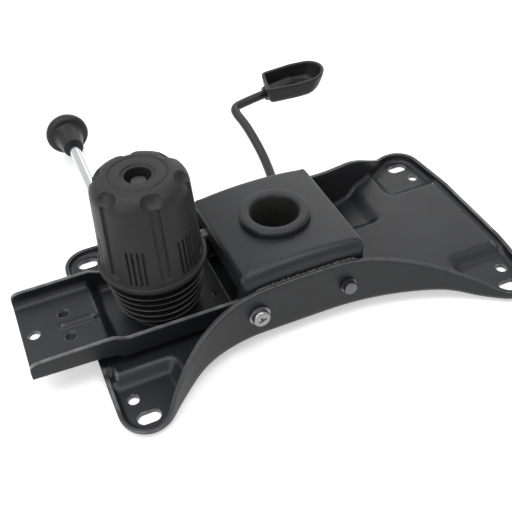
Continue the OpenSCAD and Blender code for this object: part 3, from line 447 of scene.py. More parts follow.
def powder_coat(name, base, edge_highlight, rough, edge=(0.52, 0.548)):
    """Black powder coat: fine orange-peel bump, faint cloudy colour and a painted highlight, the sharpest
    edges painted lighter.
    """
    material, tree, shader, place = new_material(name)
    # Painted highlight: the sharpest edges, broken by noise, are painted towards the edge highlight colour.
    lit_edge_share = arithmetic(tree, "MULTIPLY", edge_share(tree, *edge), noise(tree, place, 220.0, 3.0))
    tree.links.new(blend_colour(tree, lit_edge_share, coat_cloud(tree, place, base), edge_highlight), shader.inputs["Base Color"])
    gloss = arithmetic(tree, "MULTIPLY_ADD", noise(tree, place, 60.0, 3.0), 0.10, rough - 0.05)
    tree.links.new(gloss, shader.inputs["Roughness"])
    shader.inputs["Specular IOR Level"].default_value = 0.27
    bumped(tree, shader, noise(tree, place, *ORANGE_PEEL), COAT_RELIEF, 0.5)
    return material


def moulded_plastic(name, base, rough, grain=900.0, depth=0.0001):
    """Black moulded plastic with a spark-eroded grain."""
    material, tree, shader, place = new_material(name)
    tone = shades(tree, noise(tree, place, 50.0, 3.0), base, (0.3, 0.9), (0.7, 1.1))
    tree.links.new(tone, shader.inputs["Base Color"])
    shader.inputs["Roughness"].default_value = rough
    shader.inputs["Specular IOR Level"].default_value = 0.22
    bumped(tree, shader, noise(tree, place, grain, 3.0, 0.6), depth, 0.6)
    return material


def rubber(name, base, crest):
    """Black rubber with a painted highlight: the ribs' crests are painted greyer."""
    material, tree, shader, place = new_material(name)
    # Painted highlight: the pointiest places, the rib crests, are painted towards the crest colour.
    lit_edge_share = arithmetic(tree, "MULTIPLY", edge_share(tree, 0.54, 0.66), 0.7)
    tree.links.new(blend_colour(tree, lit_edge_share, base, crest), shader.inputs["Base Color"])
    shader.inputs["Roughness"].default_value = 0.36
    shader.inputs["Specular IOR Level"].default_value = 0.25
    bumped(tree, shader, noise(tree, place, 400.0, 3.0), 0.00005, 0.4)
    return material


def plated(name, base, rough, streak=(300.0, 20.0, 300.0), depth=0.00002):
    """Plated or drawn steel with faint streaks along the piece."""
    material, tree, shader, place = new_material(name)
    stretch = tree.nodes.new("ShaderNodeMapping")
    stretch.inputs["Scale"].default_value = streak
    tree.links.new(place, stretch.inputs["Vector"])
    lines = noise(tree, stretch.outputs["Vector"], 4.0, 4.0)
    tree.links.new(shades(tree, lines, base, (0.3, 0.85), (0.7, 1.0)), shader.inputs["Base Color"])
    shader.inputs["Metallic"].default_value = 1.0
    tree.links.new(arithmetic(tree, "MULTIPLY_ADD", lines, 0.12, rough), shader.inputs["Roughness"])
    bumped(tree, shader, lines, depth, 0.5)
    return material


def nylon(name, base):
    """Natural nylon with a faint mottle."""
    material, tree, shader, place = new_material(name)
    tone = shades(tree, noise(tree, place, 120.0, 3.0), base, (0.3, 0.9), (0.7, 1.0))
    tree.links.new(tone, shader.inputs["Base Color"])
    shader.inputs["Roughness"].default_value = 0.45
    bumped(tree, shader, noise(tree, place, 500.0, 2.0), 0.00004, 0.4)
    return material


def bore_share(tree, place, centre, radius, top):
    """1 inside an upright bore below its mouth, 0 elsewhere, from the distance to the bore's axis."""
    split = tree.nodes.new("ShaderNodeSeparateXYZ")
    tree.links.new(place, split.inputs["Vector"])
    x = arithmetic(tree, "SUBTRACT", split.outputs["X"], centre[0])
    y = arithmetic(tree, "SUBTRACT", split.outputs["Y"], centre[1])
    square = arithmetic(tree, "ADD", arithmetic(tree, "MULTIPLY", x, x), arithmetic(tree, "MULTIPLY", y, y))
    inside = arithmetic(tree, "LESS_THAN", square, radius * radius)
    return arithmetic(tree, "MULTIPLY", inside, arithmetic(tree, "LESS_THAN", split.outputs["Z"], top))


def socket_steel(name, base, bore, centre, radius, top):
    """Powder coat outside and bare turned steel in the bore."""
    material, tree, shader, place = new_material(name)
    inside = bore_share(tree, place, centre, radius, top)
    both = blend_colour(tree, inside, coat_cloud(tree, place, base), bore)
    tree.links.new(both, shader.inputs["Base Color"])
    tree.links.new(inside, shader.inputs["Metallic"])
    shader.inputs["Roughness"].default_value = 0.36
    shader.inputs["Specular IOR Level"].default_value = 0.22
    bumped(tree, shader, noise(tree, place, *ORANGE_PEEL), COAT_RELIEF, 0.5)
    return material


BLACK = (0.0125, 0.013, 0.0145)
BORE_MOUTH_R = 14.5
BORE_MOUTH_Z = 55.6

# The third colour of each coat is its painted edge highlight.
COAT = powder_coat("black_powder_coat", BLACK, (0.24, 0.24, 0.245), 0.39)
HOUSE_COAT = powder_coat("housing_powder_coat", BLACK, (0.20, 0.20, 0.205), 0.39, (0.545, 0.59))
WELD = powder_coat("painted_weld", (0.012, 0.012, 0.013), (0.06, 0.06, 0.06), 0.22)
LEVER_COAT = powder_coat("lever_black_coat", (0.016, 0.016, 0.017), (0.05, 0.05, 0.05), 0.33)
KNOB_PLASTIC = moulded_plastic("knob_grained_plastic", (0.016, 0.016, 0.0168), 0.46)
LEVER_PLASTIC = moulded_plastic("lever_black_plastic", (0.013, 0.013, 0.0135), 0.38, 700.0, 0.00006)
# The boot's second colour is the painted highlight on its rib crests.
BOOT_RUBBER = rubber("boot_black_rubber", (0.009, 0.009, 0.009), (0.22, 0.22, 0.22))
ZINC = plated("bright_zinc", (0.27, 0.27, 0.275), 0.24)
DULL_ZINC = plated("dull_zinc", (0.13, 0.13, 0.135), 0.27)
DARK_ZINC = plated("oiled_fastener_steel", (0.07, 0.07, 0.072), 0.30)
SPRING_STEEL = plated("oiled_spring_steel", (0.20, 0.20, 0.21), 0.35)
CHROME = plated("polished_chrome", (0.62, 0.63, 0.65), 0.10, (30.0, 900.0, 30.0), 0.000005)
NYLON = nylon("natural_nylon", (0.75, 0.74, 0.69))
SOCKET = socket_steel("socket_coat_and_steel", (0.016, 0.0165, 0.018), (0.27, 0.27, 0.266),
                      (SOCKET_X * MM, 0.0), BORE_MOUTH_R * MM, BORE_MOUTH_Z * MM)


# Seat plate

EAR_BACK = np.array([PLATE_LOW[0] + 16.4, 62.0])
EAR_BACK_R = 16.0
EAR_FRONT = np.array([PLATE_HIGH[0] - 18.7, 62.5])
EAR_FRONT_R = 15.5
WAIST = 42.8
WAIST_BACK_X = SOCKET_X - 26.0
WAIST_FRONT_X = SOCKET_X + 13.0
FLOOR_TOP = 8.0
PAD_DEPTH = 5.5
RIM_BACK = 5.5
RIM_FRONT = 8.0
WALL_TOP = PLATE_HIGH[2]
BACK_RISE_X, BACK_RISE, BACK_POWER = SOCKET_X - 95, 98, 3.2
FRONT_FALL_X, FRONT_FALL, FRONT_POWER = SOCKET_X + 19.5, 92.5, 1.585
FAR_WALL_X = SOCKET_X + np.array([17.5, 45.5, 61.5, 78.5, 90.5, 112.0])
FAR_WALL_Z = [WALL_TOP, WALL_TOP - 6.2, WALL_TOP - 8.7, WALL_TOP - 11.4, WALL_TOP - 18.3, RIM_FRONT]
BACK_PAD_SIDE, BACK_PAD_END = (34.5, 43.0), (86.0, 94.5)
FRONT_PAD_SIDE, FRONT_PAD_END = (33.0, 43.0), (86.5, 95.0)
POCKET_SIDE, POCKET_BACK, POCKET_FRONT = (14.5, 21.0), (-7.5, -3.0), (64.0, 73.5)
POCKET_DEPTH = 4.0
BACK_STRIP_DEPTH = 0.6
SLOT_X, SLOT_Y, SLOT_LENGTH, SLOT_WIDTH = 113, 66, 13, 8
HOLE_X, HOLE_Y, HOLE_R = 117.4, 51.7, 3.25
PAD_MIDDLE_Z, THROUGH = 1.2, 12
ROD_NOTCH_HALF, ROD_NOTCH_Y, ROD_NOTCH_RUN = 4.8, 62, 38


def arc_points(centre, radius, start, end, count=40):
    """Points along an arc, angles in degrees."""
    angle = np.radians(np.linspace(start, end, count))
    return np.array(centre) + radius * np.stack([np.cos(angle), np.sin(angle)], -1)


def plate_outline():
    """Half the plan as arcs tangent to each other: ear, hollow side, straight waist, hollow side, ear."""
    def hollow(ear, radius, start_x):
        a = abs(ear[0] - start_x)
        b = WAIST - ear[1]
        return (a * a + b * b - radius * radius) / (2 * (radius - b))

    back_r = hollow(EAR_BACK, EAR_BACK_R, WAIST_BACK_X)
    front_r = hollow(EAR_FRONT, EAR_FRONT_R, WAIST_FRONT_X)
    back_centre = np.array([WAIST_BACK_X, -WAIST - back_r])
    front_centre = np.array([WAIST_FRONT_X, -WAIST - front_r])
    back_ear, front_ear = EAR_BACK * (1, -1), EAR_FRONT * (1, -1)
    back_turn = math.degrees(math.atan2(*(back_ear - back_centre)[::-1]))
    front_turn = math.degrees(math.atan2(*(front_ear - front_centre)[::-1]))
    half = np.concatenate([
        [[PLATE_LOW[0] + 0.4, 0.0]],
        arc_points(back_ear, EAR_BACK_R, 180, 180 + back_turn),
        arc_points(back_centre, back_r, back_turn, 90),
        arc_points(front_centre, front_r, 90, front_turn),
        arc_points(front_ear, EAR_FRONT_R, 180 + front_turn, 352.4),
        [[PLATE_HIGH[0] - 0.4, -34.0], [PLATE_HIGH[0], -30.0], [PLATE_HIGH[0], 0.0]],
    ])
    return np.concatenate([half, half[-2:0:-1] * (1, -1)])


def plate_rim(x, y):
    """Height of the rim and side wall: a power curve up from the back ears to the waist. To the front the
    near wall falls in a power curve, and the far wall more slowly in its middle."""
    back = np.clip((x - BACK_RISE_X) / BACK_RISE, 0, 1)
    front = np.clip((x - FRONT_FALL_X) / FRONT_FALL, 0, 1)
    rise_back = RIM_BACK + (WALL_TOP - RIM_BACK) * (1 - (1 - back) ** BACK_POWER)
    near = WALL_TOP - (WALL_TOP - RIM_FRONT) * front ** FRONT_POWER
    far = np.interp(x, FAR_WALL_X, FAR_WALL_Z)
    return np.where(x < SOCKET_X, rise_back, np.where(y < 0, near, far))


def sunk(first, first_from, first_to, second, second_from, second_to):
    """0 on the field and 1 in a pad, down an S-shaped side, rounded in plan where its two runs meet."""
    u = np.clip((first - first_from) / (first_to - first_from), 0, 1)
    v = np.clip((second - second_from) / (second_to - second_from), 0, 1)
    share = 1 - np.minimum(np.hypot(1 - u, 1 - v), 1)
    return share * share * (3 - 2 * share)


def plate_floor(x, y):
    """Floor height: a raised field that ends before the front edge, a shallow strip at the back between the
    ears, four sunk ear pads and one sunk pocket."""
    side = np.abs(y)
    back_pad = sunk(side, *BACK_PAD_SIDE, -x, *BACK_PAD_END)
    front_pad = sunk(side, *FRONT_PAD_SIDE, x, *FRONT_PAD_END)
    front_strip = smooth_step(x, PLATE_HIGH[0] - 8.6, PLATE_HIGH[0] - 3.6)
    back_strip = (BACK_STRIP_DEPTH * smooth_step(-x, -PLATE_LOW[0] - 7.2, -PLATE_LOW[0] - 5.0)
                  * smooth_step(side, 28.0, 33.0))
    low = np.maximum(np.maximum(back_pad, front_pad), np.maximum(front_strip, back_strip))
    pocket = smooth_step(y, *POCKET_SIDE) * smooth_step(x, *POCKET_BACK) * (1 - smooth_step(x, *POCKET_FRONT))
    return FLOOR_TOP - PAD_DEPTH * low - POCKET_DEPTH * pocket * (1 - low)


def seat_plate():
    """Pressed plate: a tray round the outline, with its four slots, four round holes and the rod's notch."""
    edge, inward = closed_outline(plate_outline(), 1.7, 3)
    rim = softened(plate_rim(*edge.T), 20)
    points = tray(edge, inward, rim, plate_floor, middle_line(edge, -40, 22), SHEET, bend=3.0, lip=0.5,
                  wall_steps=8, floor_steps=70, widen=3, soft=44)
    thing = mesh_object("seat_plate_pressing", [surface(points, wrap_u=True)])
    holes = []
    for side_x in (-1, 1):
        for side_y in (-1, 1):
            slot_at = (side_x * SLOT_X, side_y * SLOT_Y, PAD_MIDDLE_Z)
            hole_at = (side_x * HOLE_X, side_y * HOLE_Y, PAD_MIDDLE_Z)
            holes.append(slotted(slot_at, SLOT_LENGTH, SLOT_WIDTH, THROUGH))
            holes.append(drill(hole_at, "z", HOLE_R, THROUGH))
    half, middle, run = ROD_NOTCH_HALF, ROD_NOTCH_Y, ROD_NOTCH_RUN
    above = 60
    holes.append(drill((LOCK_X, middle, LOCK_Z), "y", half, run))
    holes.append(bar((LOCK_X - half, middle - run / 2, LOCK_Z), (LOCK_X + half, middle + run / 2, above)))
    drilled(thing, holes)
    return dress(thing, "base", "black_coat", COAT, "seat_plate")


# Centre housing

HOUSE_BACK = SOCKET_X - 37.0
HOUSE_FRONT = HOUSE_BACK + 74.5
HOUSE_HALF = HOUSE_HIGH[1]
HOUSE_TOP = HOUSE_HIGH[2]
DOOR_HALF = 31.5
CORNER_R = 3.6
CROWN_R = 231.0
SOCKET_HOLE_R = 19.1
DOOR_TOP = 38.5
TAB_Y = 16.0
TAB_HALF = 3.2
TAB_SHEET, TAB_RUN, TAB_FOOT = 2.0, 5.6, 40.6
TAB_HOLE_HALF, TAB_HOLE_TOP = 3.5, 41.0


def centre_housing():
    """A tray turned over: rounded plan, upright sides, wide bends and a domed top with the socket's hole."""
    r = CORNER_R
    ring = np.concatenate([
        [[HOUSE_BACK, 0.0]],
        arc_points((HOUSE_BACK + r, -HOUSE_HALF + r), r, 180, 270),
        arc_points((HOUSE_FRONT - r, -HOUSE_HALF + r), r, 270, 360),
        [[HOUSE_FRONT, 0.0]],
        arc_points((HOUSE_FRONT - r, HOUSE_HALF - r), r, 0, 90),
        arc_points((HOUSE_BACK + r, HOUSE_HALF - r), r, 90, 180),
    ])
    edge, inward = closed_outline(ring, 0.8)
    mid_x = (HOUSE_BACK + HOUSE_FRONT) / 2

    def crown(x, y):
        return (x - mid_x) ** 2 / (2 * CROWN_R) + SHEET - HOUSE_TOP + 0 * y

    rim = np.full(len(edge), -FLOOR_TOP)
    bend = 1.3 + 1.9 * np.abs(inward[:, 1])
    points = tray(edge, inward, rim, crown, middle_line(edge, mid_x - 5, mid_x + 5), SHEET, bend, lip=0.4,
                  wall_steps=14, floor_steps=34)
    points[..., 2] *= -1
    thing = mesh_object("centre_housing_box", [surface(points, wrap_u=True)])
    drilled(thing, [
        drill((SOCKET_X, 0, HOUSE_TOP), "z", SOCKET_HOLE_R, 20, 96),
        bar((HOUSE_BACK - 3, -DOOR_HALF, -1), (HOUSE_BACK + 9, DOOR_HALF, DOOR_TOP)),
        bar((HOUSE_BACK - 3, TAB_Y - TAB_HOLE_HALF, DOOR_TOP - 1),
            (HOUSE_BACK + 4, TAB_Y + TAB_HOLE_HALF, TAB_HOLE_TOP)),
    ])
    bent_tab()
    return dress(thing, "base", "black_coat", HOUSE_COAT, "centre_housing")


def bent_tab():
    """Tab bent out above the doorway: a rounded rectangle in side view, carried across."""
    loop = eased_ring([(0.0, 0.0), (TAB_RUN, 0.0), (TAB_RUN, TAB_SHEET), (0.0, TAB_SHEET)], 0.5, 3)
    wide = np.linspace(-TAB_HALF, TAB_HALF, 6)[:, None]
    lip = np.stack(np.broadcast_arrays(HOUSE_BACK + 0.6 - loop[None, :, 0], TAB_Y + wide,
                                       TAB_FOOT + loop[None, :, 1]), -1)
    thing = mesh_object("housing_bent_tab", [capped(lip, lip[0].mean(0), lip[-1].mean(0))])
    return dress(thing, "base", "black_coat", HOUSE_COAT)


def welds():
    """A bead along each wall's top, like laid weld: a round section whose size ripples along X by a sum of
    sines."""
    parts = []
    for side, phase in ((-1, 0.0), (1, 1.7)):
        x = np.linspace(HOUSE_BACK + 7, HOUSE_FRONT - 6, 260)
        ripple = (np.sin(TURN * x / 3.7 + phase) * np.sin(TURN * x / 17.3)
                  + 0.7 * np.sin(TURN * x / 7.9 + 2 * phase)
                  + 0.5 * np.sin(TURN * x / 2.9 + 3 * phase) * np.sin(TURN * x / 11.1 + 1))
        size = 1.3 + 0.16 * ripple
        fade = smooth_step(x, x[0], x[0] + 3) * (1 - smooth_step(x, x[-1] - 3, x[-1]))
        y, z = np.full_like(x, side * (HOUSE_HALF + 1.0)), plate_rim(x, side) - 0.2 + 0.05 * ripple
        size = size * (0.4 + 0.6 * fade)
        parts.append(tube(np.stack([x, y, z], -1), size, size, 14))
    thing = mesh_object("housing_weld_beads", parts, 60)
    return dress(thing, "base", "black_coat", WELD, "housing_welds")


SOCKET_TUBE_R = 19.0
RING_EDGE = 1.9
RING_BORE_R = 15.9
TAPER_TOP_R, TAPER_LOW_R, TUBE_BORE_R = 14.0, 13.7, 13.35


def column_socket():
    """Turned socket: rolled ring, straight land, taper and tube, as one closed profile."""
    top, foot = SOCKET_HIGH[2], SOCKET_LOW[2]
    ring_r = (SOCKET_HIGH[0] - SOCKET_LOW[0]) / 2
    rise, fall = RING_EDGE * np.sin(quarter(8)), RING_EDGE * np.cos(quarter(8))
    outer = np.stack([ring_r - RING_EDGE + fall, top - RING_EDGE + rise], -1)
    inner = np.stack([RING_BORE_R - rise, top - RING_EDGE + fall], -1)
    profile = np.concatenate([
        [(TUBE_BORE_R, foot), (SOCKET_TUBE_R, foot), (SOCKET_TUBE_R, HOUSE_TOP - 0.5),
         (ring_r - 0.5, HOUSE_TOP - 0.3), (ring_r, HOUSE_TOP + 0.2)],
        outer, inner, [(TAPER_TOP_R, top - 11.9), (TAPER_LOW_R, top - 24)],
    ])
    thing = mesh_object("column_socket_turned", [turned(profile, (SOCKET_X, 0, 0), "z", 128, True)])
    return dress(thing, "base", "black_coat", SOCKET, "column_socket")


# Back arm

ARM_HALF = ARM_HIGH[1]
ARM_END = ARM_LOW[0]
FLOOR_STEP = SOCKET_X - 107.75
ARM_FLOOR_END = STOP_X - 7.0
BAR_FLOOR = 18.6
SPRING_FLOOR = 12.0
BEAD_FROM, BEAD_TO = SOCKET_X - 133.5, SOCKET_X - 111.0
BEAD_RISE, PIP_RISE = 1.4, 0.9
PIP_X, PIP_Y = -54.0, -7.0
FLANGE_TOP = 29.5
END_R = 4.5
FLANGE_FOOT_X, FLANGE_FOOT_Z = [-163.5, -125.0, -112.0, -105.0, -60.0], [18.0, 16.3, 13.4, 12.0, 12.0]
BAR_HOLES_X, BAR_HOLES_Y, BAR_HOLE_R = SOCKET_X - 128.4, 9.5, 3.4
END_HOLE_X, END_HOLE_R = SOCKET_X - 147, 3.25
BOLT_HOLE_R = 9.0
ROD_HOLE_R = 4.3


def arm_floor(x):
    """Underside of the arm's floor: bar seat, S-shaped step, spring floor."""
    return BAR_FLOOR + (SPRING_FLOOR - BAR_FLOOR) * smooth_step(x, FLOOR_STEP - 3.6, FLOOR_STEP + 3.6)


def flange_foot(x):
    """Lower edge of the flanges, which comes down in a longer slope than the floor's step."""
    return np.interp(x, FLANGE_FOOT_X, FLANGE_FOOT_Z)


def arm_top(x):
    """Top of the arm's flanges: high at the bar seat, lower past the step, round at the end."""
    step = 3.3 * smooth_step(x, FLOOR_STEP - 1.5, FLOOR_STEP + 7.5)
    high = FLANGE_TOP - step - 0.4 * smooth_step(x, -110, -50)
    near = np.clip(END_R - (x - ARM_END), 0, END_R)
    return high - (END_R - np.sqrt(END_R ** 2 - near ** 2))


def back_arm():
    """Channel: a U section carried along X, its floor and flanges following their heights, with a raised bead
    and a pip on the floor, five holes and, beyond it, the fork."""
    x = np.concatenate([ARM_END + np.array([0, 0.25, 0.6, 1.1, 1.8, 2.8, 4.0]),
                        np.linspace(ARM_END + 5, ARM_FLOOR_END, 118)])
    low, top = arm_floor(x), arm_top(x)
    fillet, outer_bend = 4.4, 2.3
    lip_arc, bend_arc = quarter(4), quarter(10)[1:]
    wall = np.linspace(0, 1, 7)[1:]
    flat = np.linspace(0, 1, 44)[1:]

    def section(depth, lift, radius, lip_way, foot):
        """Half a section, from the lip's middle down the flange and round the bend to the floor's middle."""
        lip = 0.5
        lip_y = ARM_HALF - SHEET / 2 + lip_way * (SHEET / 2 - lip + lip * np.sin(lip_arc))
        lip_z = top[:, None] - lip + lip * np.cos(lip_arc)[None, :]
        lip_y = np.broadcast_to(lip_y, lip_z.shape)
        y0 = ARM_HALF - depth
        base = foot[:, None] + lift
        wall_z = lip_z[:, -1:] + (base + radius - lip_z[:, -1:]) * wall[None, :]
        wall_y = np.full_like(wall_z, y0)
        turn_y = y0 - radius * (1 - np.cos(bend_arc))[None, :] + 0 * base
        turn_z = base + radius - radius * np.sin(bend_arc)[None, :]
        floor_y = (y0 - radius) * (1 - flat)[None, :] + 0 * base
        floor_z = base + (low - foot)[:, None] * smooth_step(flat, 0.0, 0.2)[None, :]
        return (np.concatenate([lip_y, wall_y, turn_y, floor_y], 1),
                np.concatenate([lip_z, wall_z, turn_z, floor_z], 1))

    inner_y, inner_z = section(SHEET, SHEET, fillet, -1, low)
    outer_y, outer_z = section(0.0, 0.0, outer_bend, 1, np.minimum(flange_foot(x), low))
    half_y = np.concatenate([outer_y[:, ::-1], inner_y], 1)
    half_z = np.concatenate([outer_z[:, ::-1], inner_z], 1)

    def whole(y, z):
        grid_x = np.broadcast_to(x[:, None], y.shape)
        beyond = np.maximum(np.maximum(BEAD_FROM + 3 - grid_x, grid_x - BEAD_TO + 3), 0)
        across = 1 - smooth_step(np.sqrt(y ** 2 + beyond ** 2), 0.8, 3.2)
        on_floor = z < arm_floor(grid_x) + SHEET + 0.05
        pip = np.exp(-((grid_x - PIP_X) ** 2 + (y - PIP_Y) ** 2) / 3.0)
        return np.stack([grid_x, y, z + on_floor * (BEAD_RISE * across + PIP_RISE * pip)], -1)

    parts = [surface(whole(-half_y, half_z)), surface(whole(half_y, half_z))]
    for end in (0, -1):
        for sign in (-1, 1):
            outside, inside = (
                np.stack([np.full_like(y[end], x[end]), sign * y[end], z[end]], -1)
                for y, z in ((outer_y, outer_z), (inner_y, inner_z)))
            parts.append(surface(np.stack([outside, inside])))
    thing = mesh_object("back_arm_channel", parts)
    drilled(thing, [
        drill((BAR_HOLES_X, BAR_HOLES_Y, 20), "z", BAR_HOLE_R, 10),
        drill((BAR_HOLES_X, -BAR_HOLES_Y, 20), "z", BAR_HOLE_R, 10),
        drill((END_HOLE_X, 0, 20), "z", END_HOLE_R, 10),
        drill((BOLT_X, 0, 13), "z", BOLT_HOLE_R, 10),
        drill((LOCK_X, ARM_HALF - 1.2, LOCK_Z), "y", ROD_HOLE_R, 8),
    ])
    dress(thing, "arm", "black_coat", COAT, "back_arm")
    return fork_plates()


FORK_IN, FORK_OUT, FORK_EDGE = 27.5, 30.0, 0.4
FORK_EAR_R = 8.5
FORK_BUSH_R = 5.65
STOP_SLOT_R, STOP_SLOT_DROP = 3.3, 8.5


def fork_plates():
    """The flanges inside the housing: one flat outline with a rounded ear, a pin hole and a stop slot."""
    start = ARM_FLOOR_END
    ear = arc_points((PIN_X, PIN_Z), FORK_EAR_R, -105, 95, 24)
    ring = np.concatenate([
        [[start, 12.0], [STOP_X - 4, 11.1], [STOP_X + 6, 11.1]], ear,
        [[STOP_X + 7, 30.9], [STOP_X - 3, 30.9], [start, arm_top(np.array([start]))[0]]],
    ])
    edge, inward = closed_outline(ring, 0.8)
    centre = np.array([SOCKET_X - 4, 21.5])
    parts = []
    for side in (-1, 1):
        y = np.array([FORK_IN, FORK_IN, FORK_IN + FORK_EDGE, FORK_OUT - FORK_EDGE, FORK_OUT, FORK_OUT]) * side
        inset = FORK_EDGE * np.array([1, 1, 0, 0, 1, 1])
        flat = edge[:, None, :] + inward[:, None, :] * inset[None, :, None]
        flat[:, [0, -1]] = centre
        grid = np.stack([flat[..., 0], np.broadcast_to(y, flat.shape[:2]), flat[..., 1]], -1)
        parts.append(surface(grid, wrap_u=True))
    thing = mesh_object("back_arm_fork", parts)
    drilled(thing, [
        drill((PIN_X, 0, PIN_Z), "y", FORK_BUSH_R, 70),
        drill((STOP_X, 0, PIN_Z), "y", STOP_SLOT_R, 70),
        drill((STOP_X + 0.6, 0, PIN_Z - STOP_SLOT_DROP), "y", STOP_SLOT_R, 70),
        bar((STOP_X - 3.0, -35, PIN_Z - STOP_SLOT_DROP), (STOP_X + 3.6, 35, PIN_Z)),
    ])
    return dress(thing, "arm", "black_coat", COAT)


# Tension knob, boot and spring

LIP_R = (KNOB_HIGH[0] - KNOB_LOW[0]) / 2
KNOB_BASE, KNOB_TOP = KNOB_LOW[2], KNOB_HIGH[2]
BODY_LOW_R, BODY_TOP_R = 28.2, 26.2
SHOULDER = 9.0
FLUTES = 6
FLUTE_AT, GROOVES_AT = math.radians(30), math.radians(60)
FLUTE_DEPTH, FLUTE_HALF = 1.3, 2.65
GROOVE_PITCH, GROOVE_DEPTH, GROOVE_RUN = 2.95, 1.15, 22.6
DIMPLE_R, DIMPLE_AWAY, DIMPLE_TILT = 7.5, 13.4, math.radians(48)
KNOB_STEPS = 624


def evenly(path, count):
    """A path taken again at even steps."""
    length = np.concatenate([[0], np.cumsum(np.linalg.norm(np.diff(path, axis=0), axis=1))])
    at = np.linspace(0, length[-1], count)
    return np.stack([np.interp(at, length, path[:, k]) for k in range(path.shape[1])], -1)


def tension_knob():
    """A turned profile pressed inwards: flutes and grooves are depth maps of angle and height, and a point
    inside a dimple's sphere is pushed out to its surface."""
    body_low, body_top, hub_r = KNOB_BASE + 3.0, KNOB_TOP - SHOULDER, BODY_TOP_R - SHOULDER
    angle = quarter(14)
    shoulder = np.stack([hub_r + SHOULDER * np.cos(angle), body_top + SHOULDER * np.sin(angle)], -1)
    lip = eased([(24.8, KNOB_BASE), (LIP_R, KNOB_BASE), (LIP_R, body_low - 0.4), (LIP_R - 0.7, body_low),
                 (BODY_LOW_R + 0.2, body_low), (BODY_LOW_R, body_low + 0.3)], 0.5, 4)
    side = evenly(np.array([(BODY_LOW_R, body_low + 0.3), (BODY_TOP_R, body_top)]), 68)[1:-1]
    crown = evenly(shoulder, 30)
    drops = [(hub_r, 0), (15.9, 0), (15.6, 0.5), (15.0, 0.5), (14.7, 0.1), (9.2, 0.1), (8.6, 1.0), (7.3, 1.0),
             (7.1, 1.3), (7.1, 6.1)]
    face = eased([(r, KNOB_TOP - drop) for r, drop in drops], 0.25, 3)[1:]
    hollow = np.array([
        (10.0, KNOB_TOP - 6.1), (10.0, KNOB_TOP - 14.3), (22.8, KNOB_TOP - 14.4), (24.0, 70.0)])
    profile = np.concatenate([lip, side, crown, face, hollow])
    outside = np.zeros(len(profile), bool)
    outside[len(lip):len(lip) + len(side) + len(crown)] = True
    turn = np.linspace(0, TURN, KNOB_STEPS, endpoint=False)[:, None]
    radius = np.broadcast_to(profile[None, :, 0], (KNOB_STEPS, len(profile))).copy()
    height = np.broadcast_to(profile[None, :, 1], radius.shape)
    step = TURN / FLUTES
    arc = ((turn - FLUTE_AT + step / 2) % step - step / 2) * radius
    foot = body_low + 2.0 + 0.16 * arc ** 2
    across = 1 - smooth_step(np.abs(arc), FLUTE_HALF - 0.35, FLUTE_HALF)
    flute = FLUTE_DEPTH * across * smooth_step(height, foot, foot + 0.7)
    between = np.abs((turn - GROOVES_AT + step / 2) % step - step / 2) * radius
    groove_off = np.abs(between - GROOVE_PITCH * (np.round(between / GROOVE_PITCH - 0.5) + 0.5))
    in_group = between < 2 * GROOVE_PITCH
    groove_top = body_low + GROOVE_RUN
    ends = (smooth_step(height, body_low + 0.5, body_low + 1.1)
            * (1 - smooth_step(height, groove_top, groove_top + 0.6)))
    groove = GROOVE_DEPTH * (1 - smooth_step(groove_off, 0.32, 0.7)) * in_group * ends
    radius -= np.where(outside, flute + groove, 0)
    points = np.stack([BOLT_X + radius * np.cos(turn), radius * np.sin(turn), height], -1)
    reach = hub_r + DIMPLE_AWAY * math.cos(DIMPLE_TILT)
    level = body_top + DIMPLE_AWAY * math.sin(DIMPLE_TILT)
    for k in range(FLUTES):
        a = FLUTE_AT + k * step
        centre = np.array([BOLT_X + reach * math.cos(a), reach * math.sin(a), level])
        away = points - centre
        distance = np.linalg.norm(away, axis=-1, keepdims=True)
        pushed = centre + away / np.maximum(distance, 1e-6) * DIMPLE_R
        points = np.where((distance < DIMPLE_R) & outside[None, :, None], pushed, points)
    thing = mesh_object("tension_knob_moulding", [surface(points, wrap_u=True, wrap_v=True)], 50)
    return dress(thing, "knob", "knob_plastic", KNOB_PLASTIC, "tension_knob")


def spring_boot():
    """Ribbed boot: thin crests a pitch apart on a cone that widens upwards, with its collar in the knob."""
    neck_r, collar_r, bore_r, wall, low = 18.9, 23.6, 17.7, 1.0, BOOT_LOW[2]
    first, last, ribs = low + 9.4, KNOB_BASE - 2.0, 6
    z = np.linspace(low + 5.0, KNOB_BASE - 0.9, 150)
    share = np.clip((z - first) / (last - first), 0, 1)
    phase = (z - first) / (last - first) * (ribs - 1)
    crest = (0.5 + 0.5 * np.cos(TURN * phase)) ** 3.4
    valley_r, crest_r = 20.2 + 3.0 * share, 24.4 + 4.2 * share
    r = valley_r + (crest_r - valley_r) * crest
    r = neck_r + (r - neck_r) * smooth_step(z, low + 5.0, low + 7.6)
    r = r + (collar_r - r) * smooth_step(z, KNOB_BASE - 1.9, KNOB_BASE - 0.9)
    outer = np.concatenate([[(neck_r, low + 0.05), (neck_r, low + 3)], np.stack([r, z], -1),
                            [(collar_r, BOOT_HIGH[2] - 0.4), (collar_r - 0.2, BOOT_HIGH[2])]])
    inner = outer[::-1] - (wall, 0)
    inner[:, 0] = np.maximum(inner[:, 0], bore_r)
    bellows = turned(np.concatenate([outer, inner]), (BOLT_X, 0, 0), "z", 160, True)
    thing = mesh_object("spring_boot_bellows", [bellows], 70)
    dress(thing, None, "boot_rubber", BOOT_RUBBER, "spring_boot")
    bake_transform(thing)


